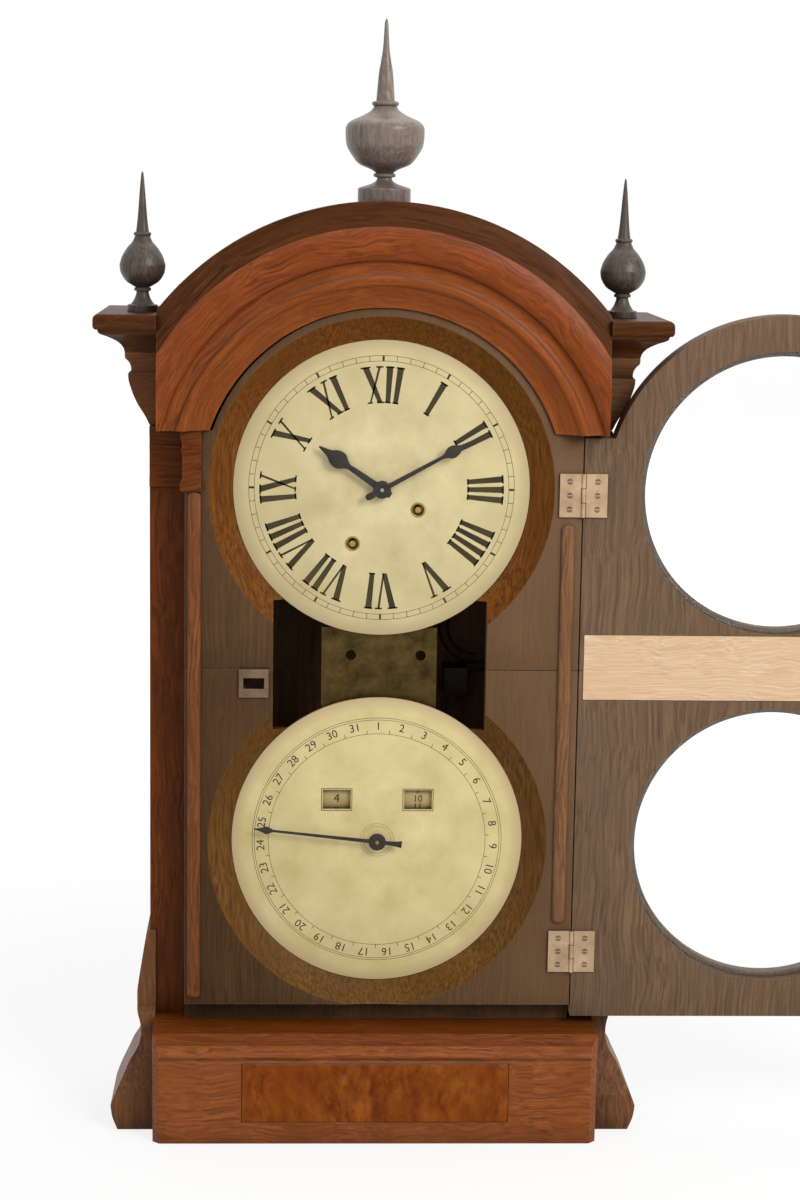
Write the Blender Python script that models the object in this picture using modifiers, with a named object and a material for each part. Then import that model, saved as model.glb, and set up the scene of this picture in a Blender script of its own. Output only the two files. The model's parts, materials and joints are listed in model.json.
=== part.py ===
"""A calendar clock: an arched wooden case with two dials and a door that stands open on its hinges.

Metres, +Z up. The front faces -Y. The origin is the centre of the base's underside.
"""

import math

import bmesh
import bpy
from mathutils import Matrix, Vector

# Fits
GAP = 0.0003  # between two pieces that touch
OVERRUN = 0.003  # how far a cutter passes the face it cuts
WELD = 0.000002  # how near two points of one mesh are joined

# Smoothness, in steps for a full turn
FINE_STEPS = 72
MIDDLE_STEPS = 28
SMALL_STEPS = 24
TINY_STEPS = 10

# Case, as a whole
DEPTH = 0.150
BASE_PROUD = 0.030  # base front, ahead of the dial boards
CASE_HALF = 0.171
PILASTER_REVEAL = 0.027  # from the case's side in to the body's side
SHOULDER_ABOVE = 0.040  # from the time dial's centre to the top of the straight sides
BOARD_THICK = 0.016
PANEL_THICK = 0.012
BACK_THICK = 0.008
PILASTER_SETBACK = 0.028
CHEEK_THICK = 0.014

# Base
LEDGE_TOP = 0.084
BASE_BLOCK_RETURN = 0.0045  # from the case's side in to the block's end
BASE_CANT = 0.005
BASE_WALL = 0.014
BASE_BAND_HEIGHT = 0.019
BASE_BAND_SLOPE = 0.006
BASE_LINE_DEPTH = 0.002
FLOOR_THICK = 0.010
BURL_MARGIN = 0.0665  # from the block's end to the panel
BURL_LOW = 0.017
BURL_BELOW_BAND = 0.002
BURL_DEPTH = 0.003
BURL_PROUD = 0.0012
BASE_WING_OUT = 0.0285
BASE_WING_HEIGHT = 0.149
BASE_WING_DEPTH = 0.040  # behind the pilaster's face
BASE_WING_STEP_OUT = 0.004
RECESS_HEIGHT = 0.015
RECESS_DEPTH = 0.012

# Dial boards and the opening between the dials
SPLAY_MARGIN = 0.018  # from the body's side to the splay
SPLAY_WIDTH = 0.0168
SPLAY_DEPTH = 0.012
DIAL_THICK = 0.002
DIAL_SPACE = 0.0476  # between the two dials
CALENDAR_ABOVE_LEDGE = 0.014  # from the ledge to the lower splay
SLOT_MARGIN = 0.065  # from the body's side to the slot's end
SLOT_ABOVE = 0.050  # above the joint of the two boards
SLOT_BELOW = 0.0475

# Beads and imposts
BEAD_HALF = 0.005
BEAD_PROUD = 0.0027
BEAD_INSET = 0.007  # from the board's edge to the bead's middle
BEAD_FOOT = 0.005
HINGE_SIDE_BEAD_FREE = 0.006
IMPOST_HEIGHT = 0.042
IMPOST_PROUD = 0.004
IMPOST_NECK_SHARE = 0.6
IMPOST_BAND = 0.009
IMPOST_RETURN = 0.003
IMPOST_INWARD = 0.012

# Arch, roof, corbels and caps
MOULD_OVER_BODY = 0.011  # from the body's side in to the moulding's inner edge
MOULD_WIDTH = 0.076
MOULD_PROUD = 0.016
MOULD_RETURN = 0.007  # from the case's side in to the moulding's cut end
MOULD_ABOVE_SHOULDER = 0.003
ROOF_STEP = 0.006  # from the moulding's outer edge in to the roof
ROOF_THICK = 0.007
CORBEL_OUT = 0.017
CORBEL_HEIGHT = 0.055
CAP_OUT = 0.0385
CAP_HEIGHT = 0.028

# Finials
SIDE_FINIAL_OUT = 0.0055  # from the case's side to the finial's axis
SIDE_FINIAL_BEHIND = 0.009  # behind the pilaster's face
SIDE_FINIAL_HEIGHT = 0.1012
SIDE_FINIAL_RADIUS = 0.0168
CENTRE_FINIAL_BEHIND = 0.049  # behind the boards' face
CENTRE_FINIAL_HEIGHT = 0.1372
CENTRE_FINIAL_RADIUS = 0.029

# Door, its panes and its cleat
DOOR_THICK = 0.022
DOOR_OVER = 0.003  # how far the shut door passes the body's side
DOOR_FOOT_CLEARANCE = 0.006
DOOR_BACK_CLEARANCE = 0.004
DOOR_ARCH_CLEARANCE = 0.002
DOOR_STILE = 0.043
PANE_LAP = 0.004
PANE_THICK = 0.002
PANE_SETBACK = 0.006
CLEAT_THICK = 0.003
CLEAT_BELOW = 0.022
CLEAT_ABOVE = 0.027
CLEAT_INSET = 0.003

# Hinges
PIN_OUT = 0.0035  # from the body's side to the pin's axis
PIN_RADIUS = 0.0008
LEAF_THICK = 0.0015
LEAF_WIDTH = 0.0175
HINGE_HEIGHT = 0.032
UPPER_HINGE_BELOW = 0.002  # below the time dial's centre
LOWER_HINGE_ABOVE = 0.0515  # above the door's foot
KNUCKLE_COUNT = 3

# Latch
LATCH_INSET = 0.051  # from the body's side
LATCH_BELOW = 0.011  # below the joint of the boards
LATCH_SPINDLE = 0.0028
LATCH_KNOB_RADIUS = 0.008
LATCH_KNOB_LENGTH = 0.013
TONGUE_HALF = 0.0065
TONGUE_WIDTH = 0.004
TONGUE_THICK = 0.0018
TONGUE_REACH = 0.006
POCKET_RADIUS = 0.0082
POCKET_DEPTH = 0.010
KEEPER_HALF = 0.011
KEEPER_THICK = 0.0012
KEEPER_SLOT_FREE = 0.0012

# Hands
HAND_THICK = 0.001
MINUTE_FRONT = 0.004  # behind the plane of the boards
HOUR_FRONT = 0.0062
DATE_FRONT = 0.005
MINUTE_SHORT = 0.0252  # from its tip to the dial's edge
MINUTE_HALF_WIDTH = 0.0045
HOUR_SHORTER = 0.028  # than the minute hand
HOUR_HALF_WIDTH = 0.0065
DATE_SHORT = 0.0162
DATE_HALF_WIDTH = 0.003
HAND_EYE = 0.0065
MINUTE_ANGLE = math.radians(61)
HOUR_ANGLE = math.radians(304)
DATE_ANGLE = math.radians(276)
ARBOR_RADIUS = 0.0015
RUNNING_FREE = 0.0004
PIPE_WALL = 0.0009
DIAL_HOLE = 0.0045

# Movement
PLATE_THICK = 0.002
MOVEMENT_BEHIND_DIAL = 0.007
MOVEMENT_HALF = 0.052
MOVEMENT_BELOW = 0.062
MOVEMENT_ABOVE = 0.062
MOVEMENT_DEPTH = 0.040  # between the plates
PILLAR_RADIUS = 0.003
PILLAR_INSET = 0.007
TIME_WINDING = (-0.021, -0.041)  # from the time dial's centre, across and up
STRIKE_WINDING = (0.027, -0.0155)
WINDING_RADIUS = 0.0022
WINDING_HOLE = 0.0045
GREAT_WHEEL_RADIUS = 0.0235
DRUM_RADIUS = 0.0185
DRUM_DEPTH = 0.016
GREAT_WHEEL_TEETH = 32
CENTRE_WHEEL_RADIUS = 0.0105
CENTRE_WHEEL_TEETH = 30
TOOTH_HEIGHT = 0.0012
WHEEL_THICK = 0.0015
WHEEL_BACK = 0.003  # from the front plate to the great wheels

# Pendulum and crutch
PENDULUM_ABOVE = 0.050  # above the time dial's centre
PENDULUM_BEHIND = 0.012  # behind the movement's back plate
ROD_HALF = 0.0025
ROD_THICK = 0.0012
ROD_LENGTH = 0.290
BOB_RADIUS = 0.028
BOB_HALF_THICK = 0.006
BOB_ABOVE_END = 0.030
COCK_RADIUS = 0.0015
CRUTCH_WIRE = 0.001
CRUTCH_DROP = 0.040
CRUTCH_SIDE = 0.0048
EYE_RADIUS = 0.006

# Hammer, gong and its block
HAMMER_X = 0.034
HAMMER_PIN = 0.002
HAMMER_BELOW = 0.050  # below the time dial's centre
HAMMER_FROM_BACK = 0.0165  # from its arm to the back board
HAMMER_LENGTH = 0.062
HAMMER_ARM = 0.0012
HAMMER_HEAD_RADIUS = 0.005
HAMMER_HEAD_LENGTH = 0.012
GONG_X = 0.078
GONG_BELOW = 0.118
GONG_OUTER = 0.034
GONG_PITCH = 0.0065
GONG_TURNS = 2
GONG_WIRE = 0.0012
GONG_POINTS_PER_TURN = 24
GONG_FROM_BACK = 0.016
GONG_BLOCK_HALF = 0.009
GONG_BLOCK_BELOW = 0.018  # from the wire to the block's foot
GONG_BLOCK_ABOVE = 0.0035

# Calendar work
CALENDAR_PLATE_HALF = 0.043
CALENDAR_PLATE_BELOW = 0.074  # below the calendar dial's centre
CALENDAR_PLATE_ABOVE = 0.028  # above the joint of the boards
CALENDAR_BEHIND_DIAL = 0.0055
CALENDAR_DEPTH = 0.034
PLATE_HOLES = ((-0.021, 0.007), (0.031, 0.007))  # from the middle of the boards' joint, across and up
PLATE_HOLE_RADIUS = 0.004
ROLLER_RADIUS = 0.012
ROLLER_HALF = 0.011
ROLLER_ABOVE = 0.031  # above the calendar dial's centre
WEEKDAY_X = -0.0305
MONTH_X = 0.0305
ROLLER_ARBOR = 0.0012
ROLLER_FREE = 0.0012
EAR_THICK = 0.0016
EAR_HALF = 0.003
WINDOW_HALF = 0.0105
WINDOW_HALF_HEIGHT = 0.0075
DATE_WHEEL_RADIUS = 0.017
DATE_WHEEL_TEETH = 31

# Shapes of the turned and moulded pieces, as shares of their own sizes
BASE_WING_SIDE_SHARES = (
    (0.82, 0.0),
    (0.95, 0.07),
    (1.0, 0.13),
    (0.86, 0.20),
    (0.64, 0.29),
    (0.52, 0.34),
    (0.30, 0.41),
    (0.22, 0.47),
    (0.25, 0.53),
    (0.34, 0.59),
    (0.34, 0.68),
    (0.21, 0.85),
    (0.08, 1.0),
)
BASE_WING_FOOT_SHARES = (
    (1.0, 0.0),
    (1.05, 0.12),
    (1.02, 0.30),
    (0.82, 0.46),
    (0.60, 0.62),
    (0.46, 0.78),
    (0.38, 0.96),
)
CORBEL_SIDE_SHARES = (
    (0.0, 0.0),
    (0.18, 0.12),
    (0.47, 0.27),
    (0.71, 0.43),
    (0.88, 0.60),
    (0.91, 0.71),
    (0.76, 0.78),
    (0.88, 0.91),
    (1.0, 1.0),
)
CORBEL_FRONT_SHARES = (
    (0.0, 0.0),
    (0.12, 0.27),
    (0.20, 0.60),
    (0.22, 0.71),
    (0.50, 0.78),
    (0.85, 0.91),
    (1.0, 1.0),
)
CAP_SHARES = (
    (0.44, 0.0),
    (0.51, 0.13),
    (0.62, 0.29),
    (0.78, 0.43),
    (0.91, 0.57),
    (1.0, 0.70),
    (1.0, 0.88),
    (0.91, 1.0),
)
MOULD_SHARES = (
    (0.0, 0.125),
    (0.04, 0.16),
    (0.105, 0.29),
    (0.17, 0.50),
    (0.21, 0.625),
    (0.23, 0.77),
    (0.263, 0.81),
    (0.296, 0.77),
    (0.322, 0.625),
    (0.355, 0.56),
    (0.42, 0.56),
    (0.453, 0.79),
    (0.52, 0.95),
    (0.605, 1.0),
    (0.697, 0.93),
    (0.783, 0.75),
    (0.868, 0.50),
    (1.0, 0.25),
)
SIDE_FINIAL_SHARES = (
    (0.0, 1.0),
    (0.07, 0.95),
    (0.13, 0.84),
    (0.17, 0.75),
    (0.215, 0.66),
    (0.28, 0.57),
    (0.36, 0.52),
    (0.45, 0.495),
    (0.66, 0.456),
    (0.89, 0.394),
    (1.0, 0.333),
    (0.95, 0.276),
    (0.74, 0.219),
    (0.47, 0.188),
    (0.28, 0.167),
    (0.27, 0.136),
    (0.36, 0.088),
    (0.50, 0.049),
    (0.66, 0.030),
    (0.66, 0.0),
    (0.0, 0.0),
)
CENTRE_FINIAL_SHARES = (
    (0.0, 1.0),
    (0.05, 0.96),
    (0.08, 0.85),
    (0.13, 0.775),
    (0.18, 0.71),
    (0.225, 0.635),
    (0.25, 0.57),
    (0.32, 0.525),
    (0.55, 0.492),
    (0.86, 0.463),
    (0.985, 0.434),
    (1.0, 0.390),
    (0.965, 0.332),
    (0.83, 0.281),
    (0.655, 0.237),
    (0.345, 0.208),
    (0.22, 0.184),
    (0.19, 0.158),
    (0.31, 0.135),
    (0.55, 0.114),
    (0.67, 0.085),
    (0.67, 0.0),
    (0.0, 0.0),
)
MINUTE_HAND_SHARES = (
    (0.30, -0.16),
    (0.55, -0.12),
    (0.42, 0.0),
    (0.36, 0.30),
    (0.28, 0.62),
    (1.0, 0.70),
    (0.45, 0.78),
    (0.16, 1.0),
)
HOUR_HAND_SHARES = (
    (0.30, -0.14),
    (0.42, 0.0),
    (0.36, 0.45),
    (0.30, 0.58),
    (1.0, 0.70),
    (0.42, 0.84),
    (0.12, 1.0),
)
DATE_HAND_SHARES = (
    (0.9, -0.20),
    (0.5, -0.10),
    (0.5, 0.0),
    (0.35, 0.5),
    (0.30, 0.86),
    (0.9, 0.90),
    (0.1, 1.0),
)
KNOB_SHARES = ((0.0, 1.0), (0.62, 0.95), (0.95, 0.76), (1.0, 0.58), (0.82, 0.36), (0.52, 0.22), (0.62, 0.0))
BOB_SHARES = (
    (0.0, 1.0),
    (0.55, 0.86),
    (0.88, 0.52),
    (1.0, 0.12),
    (1.0, -0.12),
    (0.88, -0.52),
    (0.55, -0.86),
    (0.0, -1.0),
)

# Places worked out from the sizes
BASE_FRONT = -DEPTH / 2
BACK = DEPTH / 2
FRONT = BASE_FRONT + BASE_PROUD
BOARD_BACK = FRONT + BOARD_THICK
PILASTER_FRONT = FRONT + PILASTER_SETBACK
PILASTER_BACK = PILASTER_FRONT + PANEL_THICK
BACK_BOARD_FRONT = BACK - BACK_THICK
BOARD_FOOT = LEDGE_TOP + RECESS_HEIGHT
BODY_HALF = CASE_HALF - PILASTER_REVEAL
BASE_BLOCK_HALF = CASE_HALF - BASE_BLOCK_RETURN
BURL_HALF = BASE_BLOCK_HALF - BURL_MARGIN
BURL_HEIGHT = LEDGE_TOP - BASE_BAND_HEIGHT - BURL_BELOW_BAND - BURL_LOW
WING_BACK = PILASTER_FRONT + BASE_WING_DEPTH
SPLAY_RADIUS = BODY_HALF - SPLAY_MARGIN
DIAL_RADIUS = SPLAY_RADIUS - SPLAY_WIDTH
CALENDAR_CENTRE = LEDGE_TOP + CALENDAR_ABOVE_LEDGE + SPLAY_RADIUS
TIME_CENTRE = CALENDAR_CENTRE + DIAL_RADIUS * 2 + DIAL_SPACE
SHOULDER = TIME_CENTRE + SHOULDER_ABOVE
IMPOST_LOW = SHOULDER - IMPOST_HEIGHT
SLOT_HALF = BODY_HALF - SLOT_MARGIN
MOULD_INNER = BODY_HALF - MOULD_OVER_BODY
MOULD_OUTER = MOULD_INNER + MOULD_WIDTH
MOULD_HALF = CASE_HALF - MOULD_RETURN
MOULD_FOOT = SHOULDER + MOULD_ABOVE_SHOULDER
ROOF_OUTER = MOULD_OUTER - ROOF_STEP
CORBEL_TOP = MOULD_FOOT + CORBEL_HEIGHT
CAP_TOP = CORBEL_TOP + CAP_HEIGHT
SIDE_FINIAL_X = CASE_HALF + SIDE_FINIAL_OUT
SIDE_FINIAL_Y = PILASTER_FRONT + SIDE_FINIAL_BEHIND
CENTRE_FINIAL_Y = FRONT + CENTRE_FINIAL_BEHIND
WINDOW_RADIUS = BODY_HALF - DOOR_STILE
DOOR_HALF = BODY_HALF + DOOR_OVER
DOOR_ARCH = MOULD_INNER - DOOR_ARCH_CLEARANCE
DOOR_FOOT = LEDGE_TOP + DOOR_FOOT_CLEARANCE
DOOR_BACK = FRONT - DOOR_BACK_CLEARANCE
DOOR_FRONT = DOOR_BACK - DOOR_THICK
SEAM = (TIME_CENTRE + CALENDAR_CENTRE) / 2
PIN_X = BODY_HALF + PIN_OUT
BARREL_RADIUS = DOOR_BACK_CLEARANCE / 2 - GAP
PIN_Y = FRONT - DOOR_BACK_CLEARANCE / 2
LATCH_X = LATCH_INSET - BODY_HALF
LATCH_Z = SEAM - LATCH_BELOW
UPPER_HINGE = TIME_CENTRE - UPPER_HINGE_BELOW
LOWER_HINGE = DOOR_FOOT + LOWER_HINGE_ABOVE
MINUTE_LENGTH = DIAL_RADIUS - MINUTE_SHORT
HOUR_LENGTH = MINUTE_LENGTH - HOUR_SHORTER
DATE_LENGTH = DIAL_RADIUS - DATE_SHORT
DIAL_FRONT = FRONT + SPLAY_DEPTH
DIAL_BACK = DIAL_FRONT + DIAL_THICK
MOVEMENT_FRONT = DIAL_BACK + MOVEMENT_BEHIND_DIAL
MOVEMENT_BACK = MOVEMENT_FRONT + PLATE_THICK + MOVEMENT_DEPTH
CALENDAR_FRONT = DIAL_BACK + CALENDAR_BEHIND_DIAL
CALENDAR_BACK = CALENDAR_FRONT + PLATE_THICK + CALENDAR_DEPTH
CALENDAR_PLATE_LOW = CALENDAR_CENTRE - CALENDAR_PLATE_BELOW
CALENDAR_PLATE_HIGH = SEAM + CALENDAR_PLATE_ABOVE
PENDULUM_Y = MOVEMENT_BACK + PLATE_THICK + PENDULUM_BEHIND
PENDULUM_PIVOT = TIME_CENTRE + PENDULUM_ABOVE
HAMMER_PIVOT = TIME_CENTRE - HAMMER_BELOW
GONG_Z = TIME_CENTRE - GONG_BELOW
HAMMER_FRONT = BACK_BOARD_FRONT - HAMMER_FROM_BACK
ROLLER_Z = CALENDAR_CENTRE + ROLLER_ABOVE
ROLLER_Y = DIAL_BACK + ROLLER_FREE + ROLLER_RADIUS

# Finishes: colour, roughness, metallic
FINISHES = {
    "case": ((0.26, 0.065, 0.022, 1.0), 0.35, 0.0),
    "burl": ((0.24, 0.07, 0.02, 1.0), 0.25, 0.0),
    "dark_wood": ((0.06, 0.035, 0.02, 1.0), 0.45, 0.0),
    "door_wood": ((0.15, 0.075, 0.04, 1.0), 0.45, 0.0),
    "pale_wood": ((0.75, 0.55, 0.36, 1.0), 0.6, 0.0),
    "hidden_wood": ((0.20, 0.11, 0.05, 1.0), 0.8, 0.0),
    "finial": ((0.06, 0.04, 0.03, 1.0), 0.4, 0.0),
    "dial": ((0.72, 0.62, 0.36, 1.0), 0.5, 0.0),
    "hand": ((0.02, 0.02, 0.025, 1.0), 0.35, 0.6),
    "brass": ((0.60, 0.42, 0.16, 1.0), 0.3, 1.0),
    "steel": ((0.45, 0.45, 0.46, 1.0), 0.3, 1.0),
    "iron": ((0.08, 0.08, 0.08, 1.0), 0.6, 0.8),
    "paper": ((0.80, 0.74, 0.55, 1.0), 0.7, 0.0),
    "glass": ((0.9, 0.95, 0.93, 1.0), 0.05, 0.0),
}

# How an object's own Z lies along each of the clock's axes; along Y it points to the front
TURN = {
    "X": Matrix.Rotation(math.pi / 2, 4, "Y"),
    "Y": Matrix.Rotation(math.pi / 2, 4, "X"),
    "Z": Matrix.Identity(4),
}
SIDEWAYS = Matrix(((0, 0, 1, 0), (1, 0, 0, 0), (0, 1, 0, 0), (0, 0, 0, 1)))


def empty_scene():
    """Removes what the scene holds and returns the collections of the parts and of the cutters."""
    for found in list(bpy.data.objects):
        bpy.data.objects.remove(found, do_unlink=True)
    parts = bpy.data.collections.new("calendar_clock")
    cutters = bpy.data.collections.new("cutters")
    for collection in (parts, cutters):
        bpy.context.scene.collection.children.link(collection)
    return parts, cutters


PARTS, CUTTERS = empty_scene()


def place(name, data, matrix):
    """A new object among the parts."""
    made = bpy.data.objects.new(name, data)
    PARTS.objects.link(made)
    made.matrix_world = matrix
    return made


def finish(part, finish_name):
    """Gives a part its own material."""
    color, roughness, metallic = FINISHES[finish_name]
    material = bpy.data.materials.new(part.name)
    material.use_nodes = True
    shader = material.node_tree.nodes["Principled BSDF"]
    shader.inputs["Base Color"].default_value = color
    shader.inputs["Roughness"].default_value = roughness
    shader.inputs["Metallic"].default_value = metallic
    part.data.materials.append(material)
    return part


def box(name, low, high):
    """A box between two corners, with its origin at its middle."""
    size = Vector(high) - Vector(low)
    work = bmesh.new()
    bmesh.ops.create_cube(work, size=1)
    bmesh.ops.scale(work, vec=size, verts=work.verts)
    mesh = bpy.data.meshes.new(name)
    work.to_mesh(mesh)
    work.free()
    return place(name, mesh, Matrix.Translation(Vector(low) + size / 2))


def cone(name, radius_back, radius_front, front, back, middle, steps=FINE_STEPS):
    """A round block along Y from front to back, with a radius for each end."""
    work = bmesh.new()
    bmesh.ops.create_cone(
        work, cap_ends=True, segments=steps, radius1=radius_back, radius2=radius_front, depth=back - front
    )
    mesh = bpy.data.meshes.new(name)
    work.to_mesh(mesh)
    work.free()
    mesh.shade_smooth()
    mesh.set_sharp_from_angle(angle=math.radians(30))
    return place(name, mesh, Matrix.Translation((middle[0], (front + back) / 2, middle[1])) @ TURN["Y"])


def rod(name, radius, low, high, axis, steps=TINY_STEPS):
    """A round rod along one axis between two points."""
    low, high = Vector(low), Vector(high)
    work = bmesh.new()
    bmesh.ops.create_cone(
        work, cap_ends=True, segments=steps, radius1=radius, radius2=radius, depth=(high - low).length
    )
    mesh = bpy.data.meshes.new(name)
    work.to_mesh(mesh)
    work.free()
    mesh.shade_smooth()
    mesh.set_sharp_from_angle(angle=math.radians(30))
    return place(name, mesh, Matrix.Translation((low + high) / 2) @ TURN[axis])


def welded(curve_object):
    """Makes a curve object a closed mesh object under the same name."""
    bpy.context.view_layer.update()
    graph = bpy.context.evaluated_depsgraph_get()
    mesh = bpy.data.meshes.new_from_object(curve_object.evaluated_get(graph))
    work = bmesh.new()
    work.from_mesh(mesh)
    bmesh.ops.remove_doubles(work, verts=work.verts, dist=WELD)
    bmesh.ops.recalc_face_normals(work, faces=work.faces)
    work.to_mesh(mesh)
    work.free()
    name = curve_object.name
    matrix = curve_object.matrix_world.copy()
    curve_data = curve_object.data
    bpy.data.objects.remove(curve_object, do_unlink=True)
    bpy.data.curves.remove(curve_data)
    return place(name, mesh, matrix)


def outline(name, points, thickness, matrix):
    """A flat outline with a thickness, centred on its own plane."""
    curve = bpy.data.curves.new(name, "CURVE")
    curve.dimensions = "2D"
    curve.fill_mode = "BOTH"
    curve.extrude = thickness / 2
    spline = curve.splines.new("POLY")
    spline.points.add(len(points) - 1)
    for point, (across, up) in zip(spline.points, points):
        point.co = (across, up, 0, 1)
    spline.use_cyclic_u = True
    return welded(place(name, curve, matrix))


def facing(name, points, front, back, middle=(0, 0)):
    """An outline across the front, across and up from its middle, from front to back."""
    spot = Matrix.Translation((middle[0], (front + back) / 2, middle[1]))
    return outline(name, points, back - front, spot @ TURN["Y"])


def standing(name, points, low, high):
    """A plan outline that stands from low to high."""
    return outline(name, points, high - low, Matrix.Translation((0, 0, (low + high) / 2)))


def running(name, points, left, right):
    """A side outline, in depth and height, that runs from left to right."""
    return outline(name, points, right - left, Matrix.Translation(((left + right) / 2, 0, 0)) @ SIDEWAYS)


def turned(name, profile, spot, axis, steps):
    """A turned solid from its profile of radius and height, top to bottom on the outer side."""
    mesh = bpy.data.meshes.new(name)
    closed = all(radius > 0 for radius, _ in profile)
    last = len(profile)
    edges = [(index, index + 1) for index in range(last - 1)]
    if closed:
        edges.append((last - 1, 0))
    mesh.from_pydata([(radius, 0, height) for radius, height in profile], edges, [])
    made = place(name, mesh, Matrix.Translation(spot) @ TURN[axis])
    screw = made.modifiers.new("turn", "SCREW")
    screw.angle = math.tau
    screw.steps = steps
    screw.render_steps = steps
    screw.use_merge_vertices = True
    screw.merge_threshold = WELD
    screw.use_smooth_shade = True
    return made


def wire(name, points, radius, matrix):
    """A round wire along a line of points."""
    curve = bpy.data.curves.new(name, "CURVE")
    curve.dimensions = "3D"
    curve.bevel_depth = radius
    curve.bevel_resolution = 1
    curve.use_fill_caps = True
    spline = curve.splines.new("POLY")
    spline.points.add(len(points) - 1)
    for point, spot in zip(spline.points, points):
        point.co = (*spot, 1)
    return welded(place(name, curve, matrix))


def apply_tool(part, tool, operation):
    """Cuts, keeps or joins a part with another solid, which becomes a cutter."""
    modifier = part.modifiers.new(tool.name, "BOOLEAN")
    modifier.operation = operation
    modifier.solver = "EXACT"
    modifier.object = tool
    if tool.name in PARTS.objects:
        PARTS.objects.unlink(tool)
        CUTTERS.objects.link(tool)
        tool.hide_render = True
        tool.display_type = "WIRE"
    return part


def cut(part, *tools):
    """Takes the tools' shapes out of a part."""
    for tool in tools:
        apply_tool(part, tool, "DIFFERENCE")
    return part


def join(part, *tools):
    """Adds the tools' shapes to a part."""
    for tool in tools:
        apply_tool(part, tool, "UNION")
    return part


def keep(part, tool):
    """Keeps what a part shares with a tool."""
    return apply_tool(part, tool, "INTERSECT")


def arc(radius, start, end, steps, middle=(0, 0)):
    """Points on an arc from one angle to another, both ends included."""
    points = []
    for index in range(steps + 1):
        angle = start + (end - start) * index / steps
        points.append((middle[0] + radius * math.cos(angle), middle[1] + radius * math.sin(angle)))
    return points


def mirrored(points):
    """The same outline on the other side of the middle, still in order."""
    return [(-across, up) for across, up in reversed(points)]


def arched(half, foot, shoulder, radius, centre):
    """The outline of a board with straight sides, shoulders and a round top."""
    angle = math.asin((shoulder - centre) / radius)
    top = arc(radius, angle, math.pi - angle, FINE_STEPS // 2, (0, centre))
    return [(-half, foot), (half, foot), (half, shoulder), *top, (-half, shoulder)]


def gear(teeth, radius):
    """A toothed wheel's outline."""
    points = []
    for index in range(2 * teeth):
        reach = radius if index % 2 else radius - TOOTH_HEIGHT
        angle = math.pi * index / teeth
        points.append((reach * math.cos(angle), reach * math.sin(angle)))
    return points


def hand_outline(shares, length, half_width, angle):
    """A hand's outline from its tail to its tip, turned clockwise from upright."""
    right = [(across * half_width, along * length) for across, along in shares]
    points = right + [(-across, along) for across, along in reversed(right)]
    turn_cos, turn_sin = math.cos(angle), math.sin(angle)
    return [(x * turn_cos + z * turn_sin, z * turn_cos - x * turn_sin) for x, z in points]


def scaled(shares, across, up):
    """Points from shares of two sizes."""
    return [(share * across, height * up) for share, height in shares]


def make_base():
    """The base: a hollow front block with a burl panel, two moulded wings and a floor."""
    half = BASE_BLOCK_HALF
    plan = [
        (-half, PILASTER_FRONT - GAP),
        (-half, BASE_FRONT + BASE_CANT),
        (-half + BASE_CANT, BASE_FRONT),
        (half - BASE_CANT, BASE_FRONT),
        (half, BASE_FRONT + BASE_CANT),
        (half, PILASTER_FRONT - GAP),
    ]
    front = standing("base_front", plan, 0, LEDGE_TOP)
    hollow = box(
        "base_hollow",
        (-half + BASE_WALL, BASE_FRONT + BASE_WALL, -OVERRUN),
        (half - BASE_WALL, PILASTER_FRONT + OVERRUN, LEDGE_TOP - BASE_WALL),
    )
    band_low = LEDGE_TOP - BASE_BAND_HEIGHT
    side = [
        (BASE_FRONT - OVERRUN, LEDGE_TOP + OVERRUN),
        (BASE_FRONT - OVERRUN, band_low),
        (BASE_FRONT + BASE_LINE_DEPTH, band_low),
        (BASE_FRONT + BASE_LINE_DEPTH, band_low + BASE_LINE_DEPTH),
        (BASE_FRONT, band_low + BASE_LINE_DEPTH),
        (BASE_FRONT + BASE_BAND_SLOPE, LEDGE_TOP),
        (BASE_FRONT + BASE_BAND_SLOPE, LEDGE_TOP + OVERRUN),
    ]
    band = running("base_band_cut", side, -half - OVERRUN, half + OVERRUN)
    burl_high = BURL_LOW + BURL_HEIGHT
    recess = box(
        "burl_recess",
        (-BURL_HALF, BASE_FRONT - OVERRUN, BURL_LOW),
        (BURL_HALF, BASE_FRONT + BURL_DEPTH, burl_high),
    )
    cut(finish(front, "case"), hollow, band, recess)
    panel = box(
        "base_burl_panel",
        (-BURL_HALF + GAP, BASE_FRONT - BURL_PROUD, BURL_LOW + GAP),
        (BURL_HALF - GAP, BASE_FRONT + BURL_DEPTH - GAP, burl_high - GAP),
    )
    finish(panel, "burl")
    floor_half = min(BODY_HALF, half - BASE_WALL - GAP)
    wide_half = CASE_HALF - PANEL_THICK - GAP
    floor_front = BASE_FRONT + BASE_WALL + GAP
    floor_back = BACK_BOARD_FRONT - GAP
    shoulder = PILASTER_BACK + GAP
    floor_plan = [(floor_half, floor_front), (floor_half, shoulder)]
    floor_plan += [(wide_half, shoulder), (wide_half, floor_back)]
    floor = standing("base_floor", floor_plan + mirrored(floor_plan), 0, FLOOR_THICK)
    finish(floor, "hidden_wood")
    for side_name, sign in (("left", -1), ("right", 1)):
        make_base_wing(side_name, sign)


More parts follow.
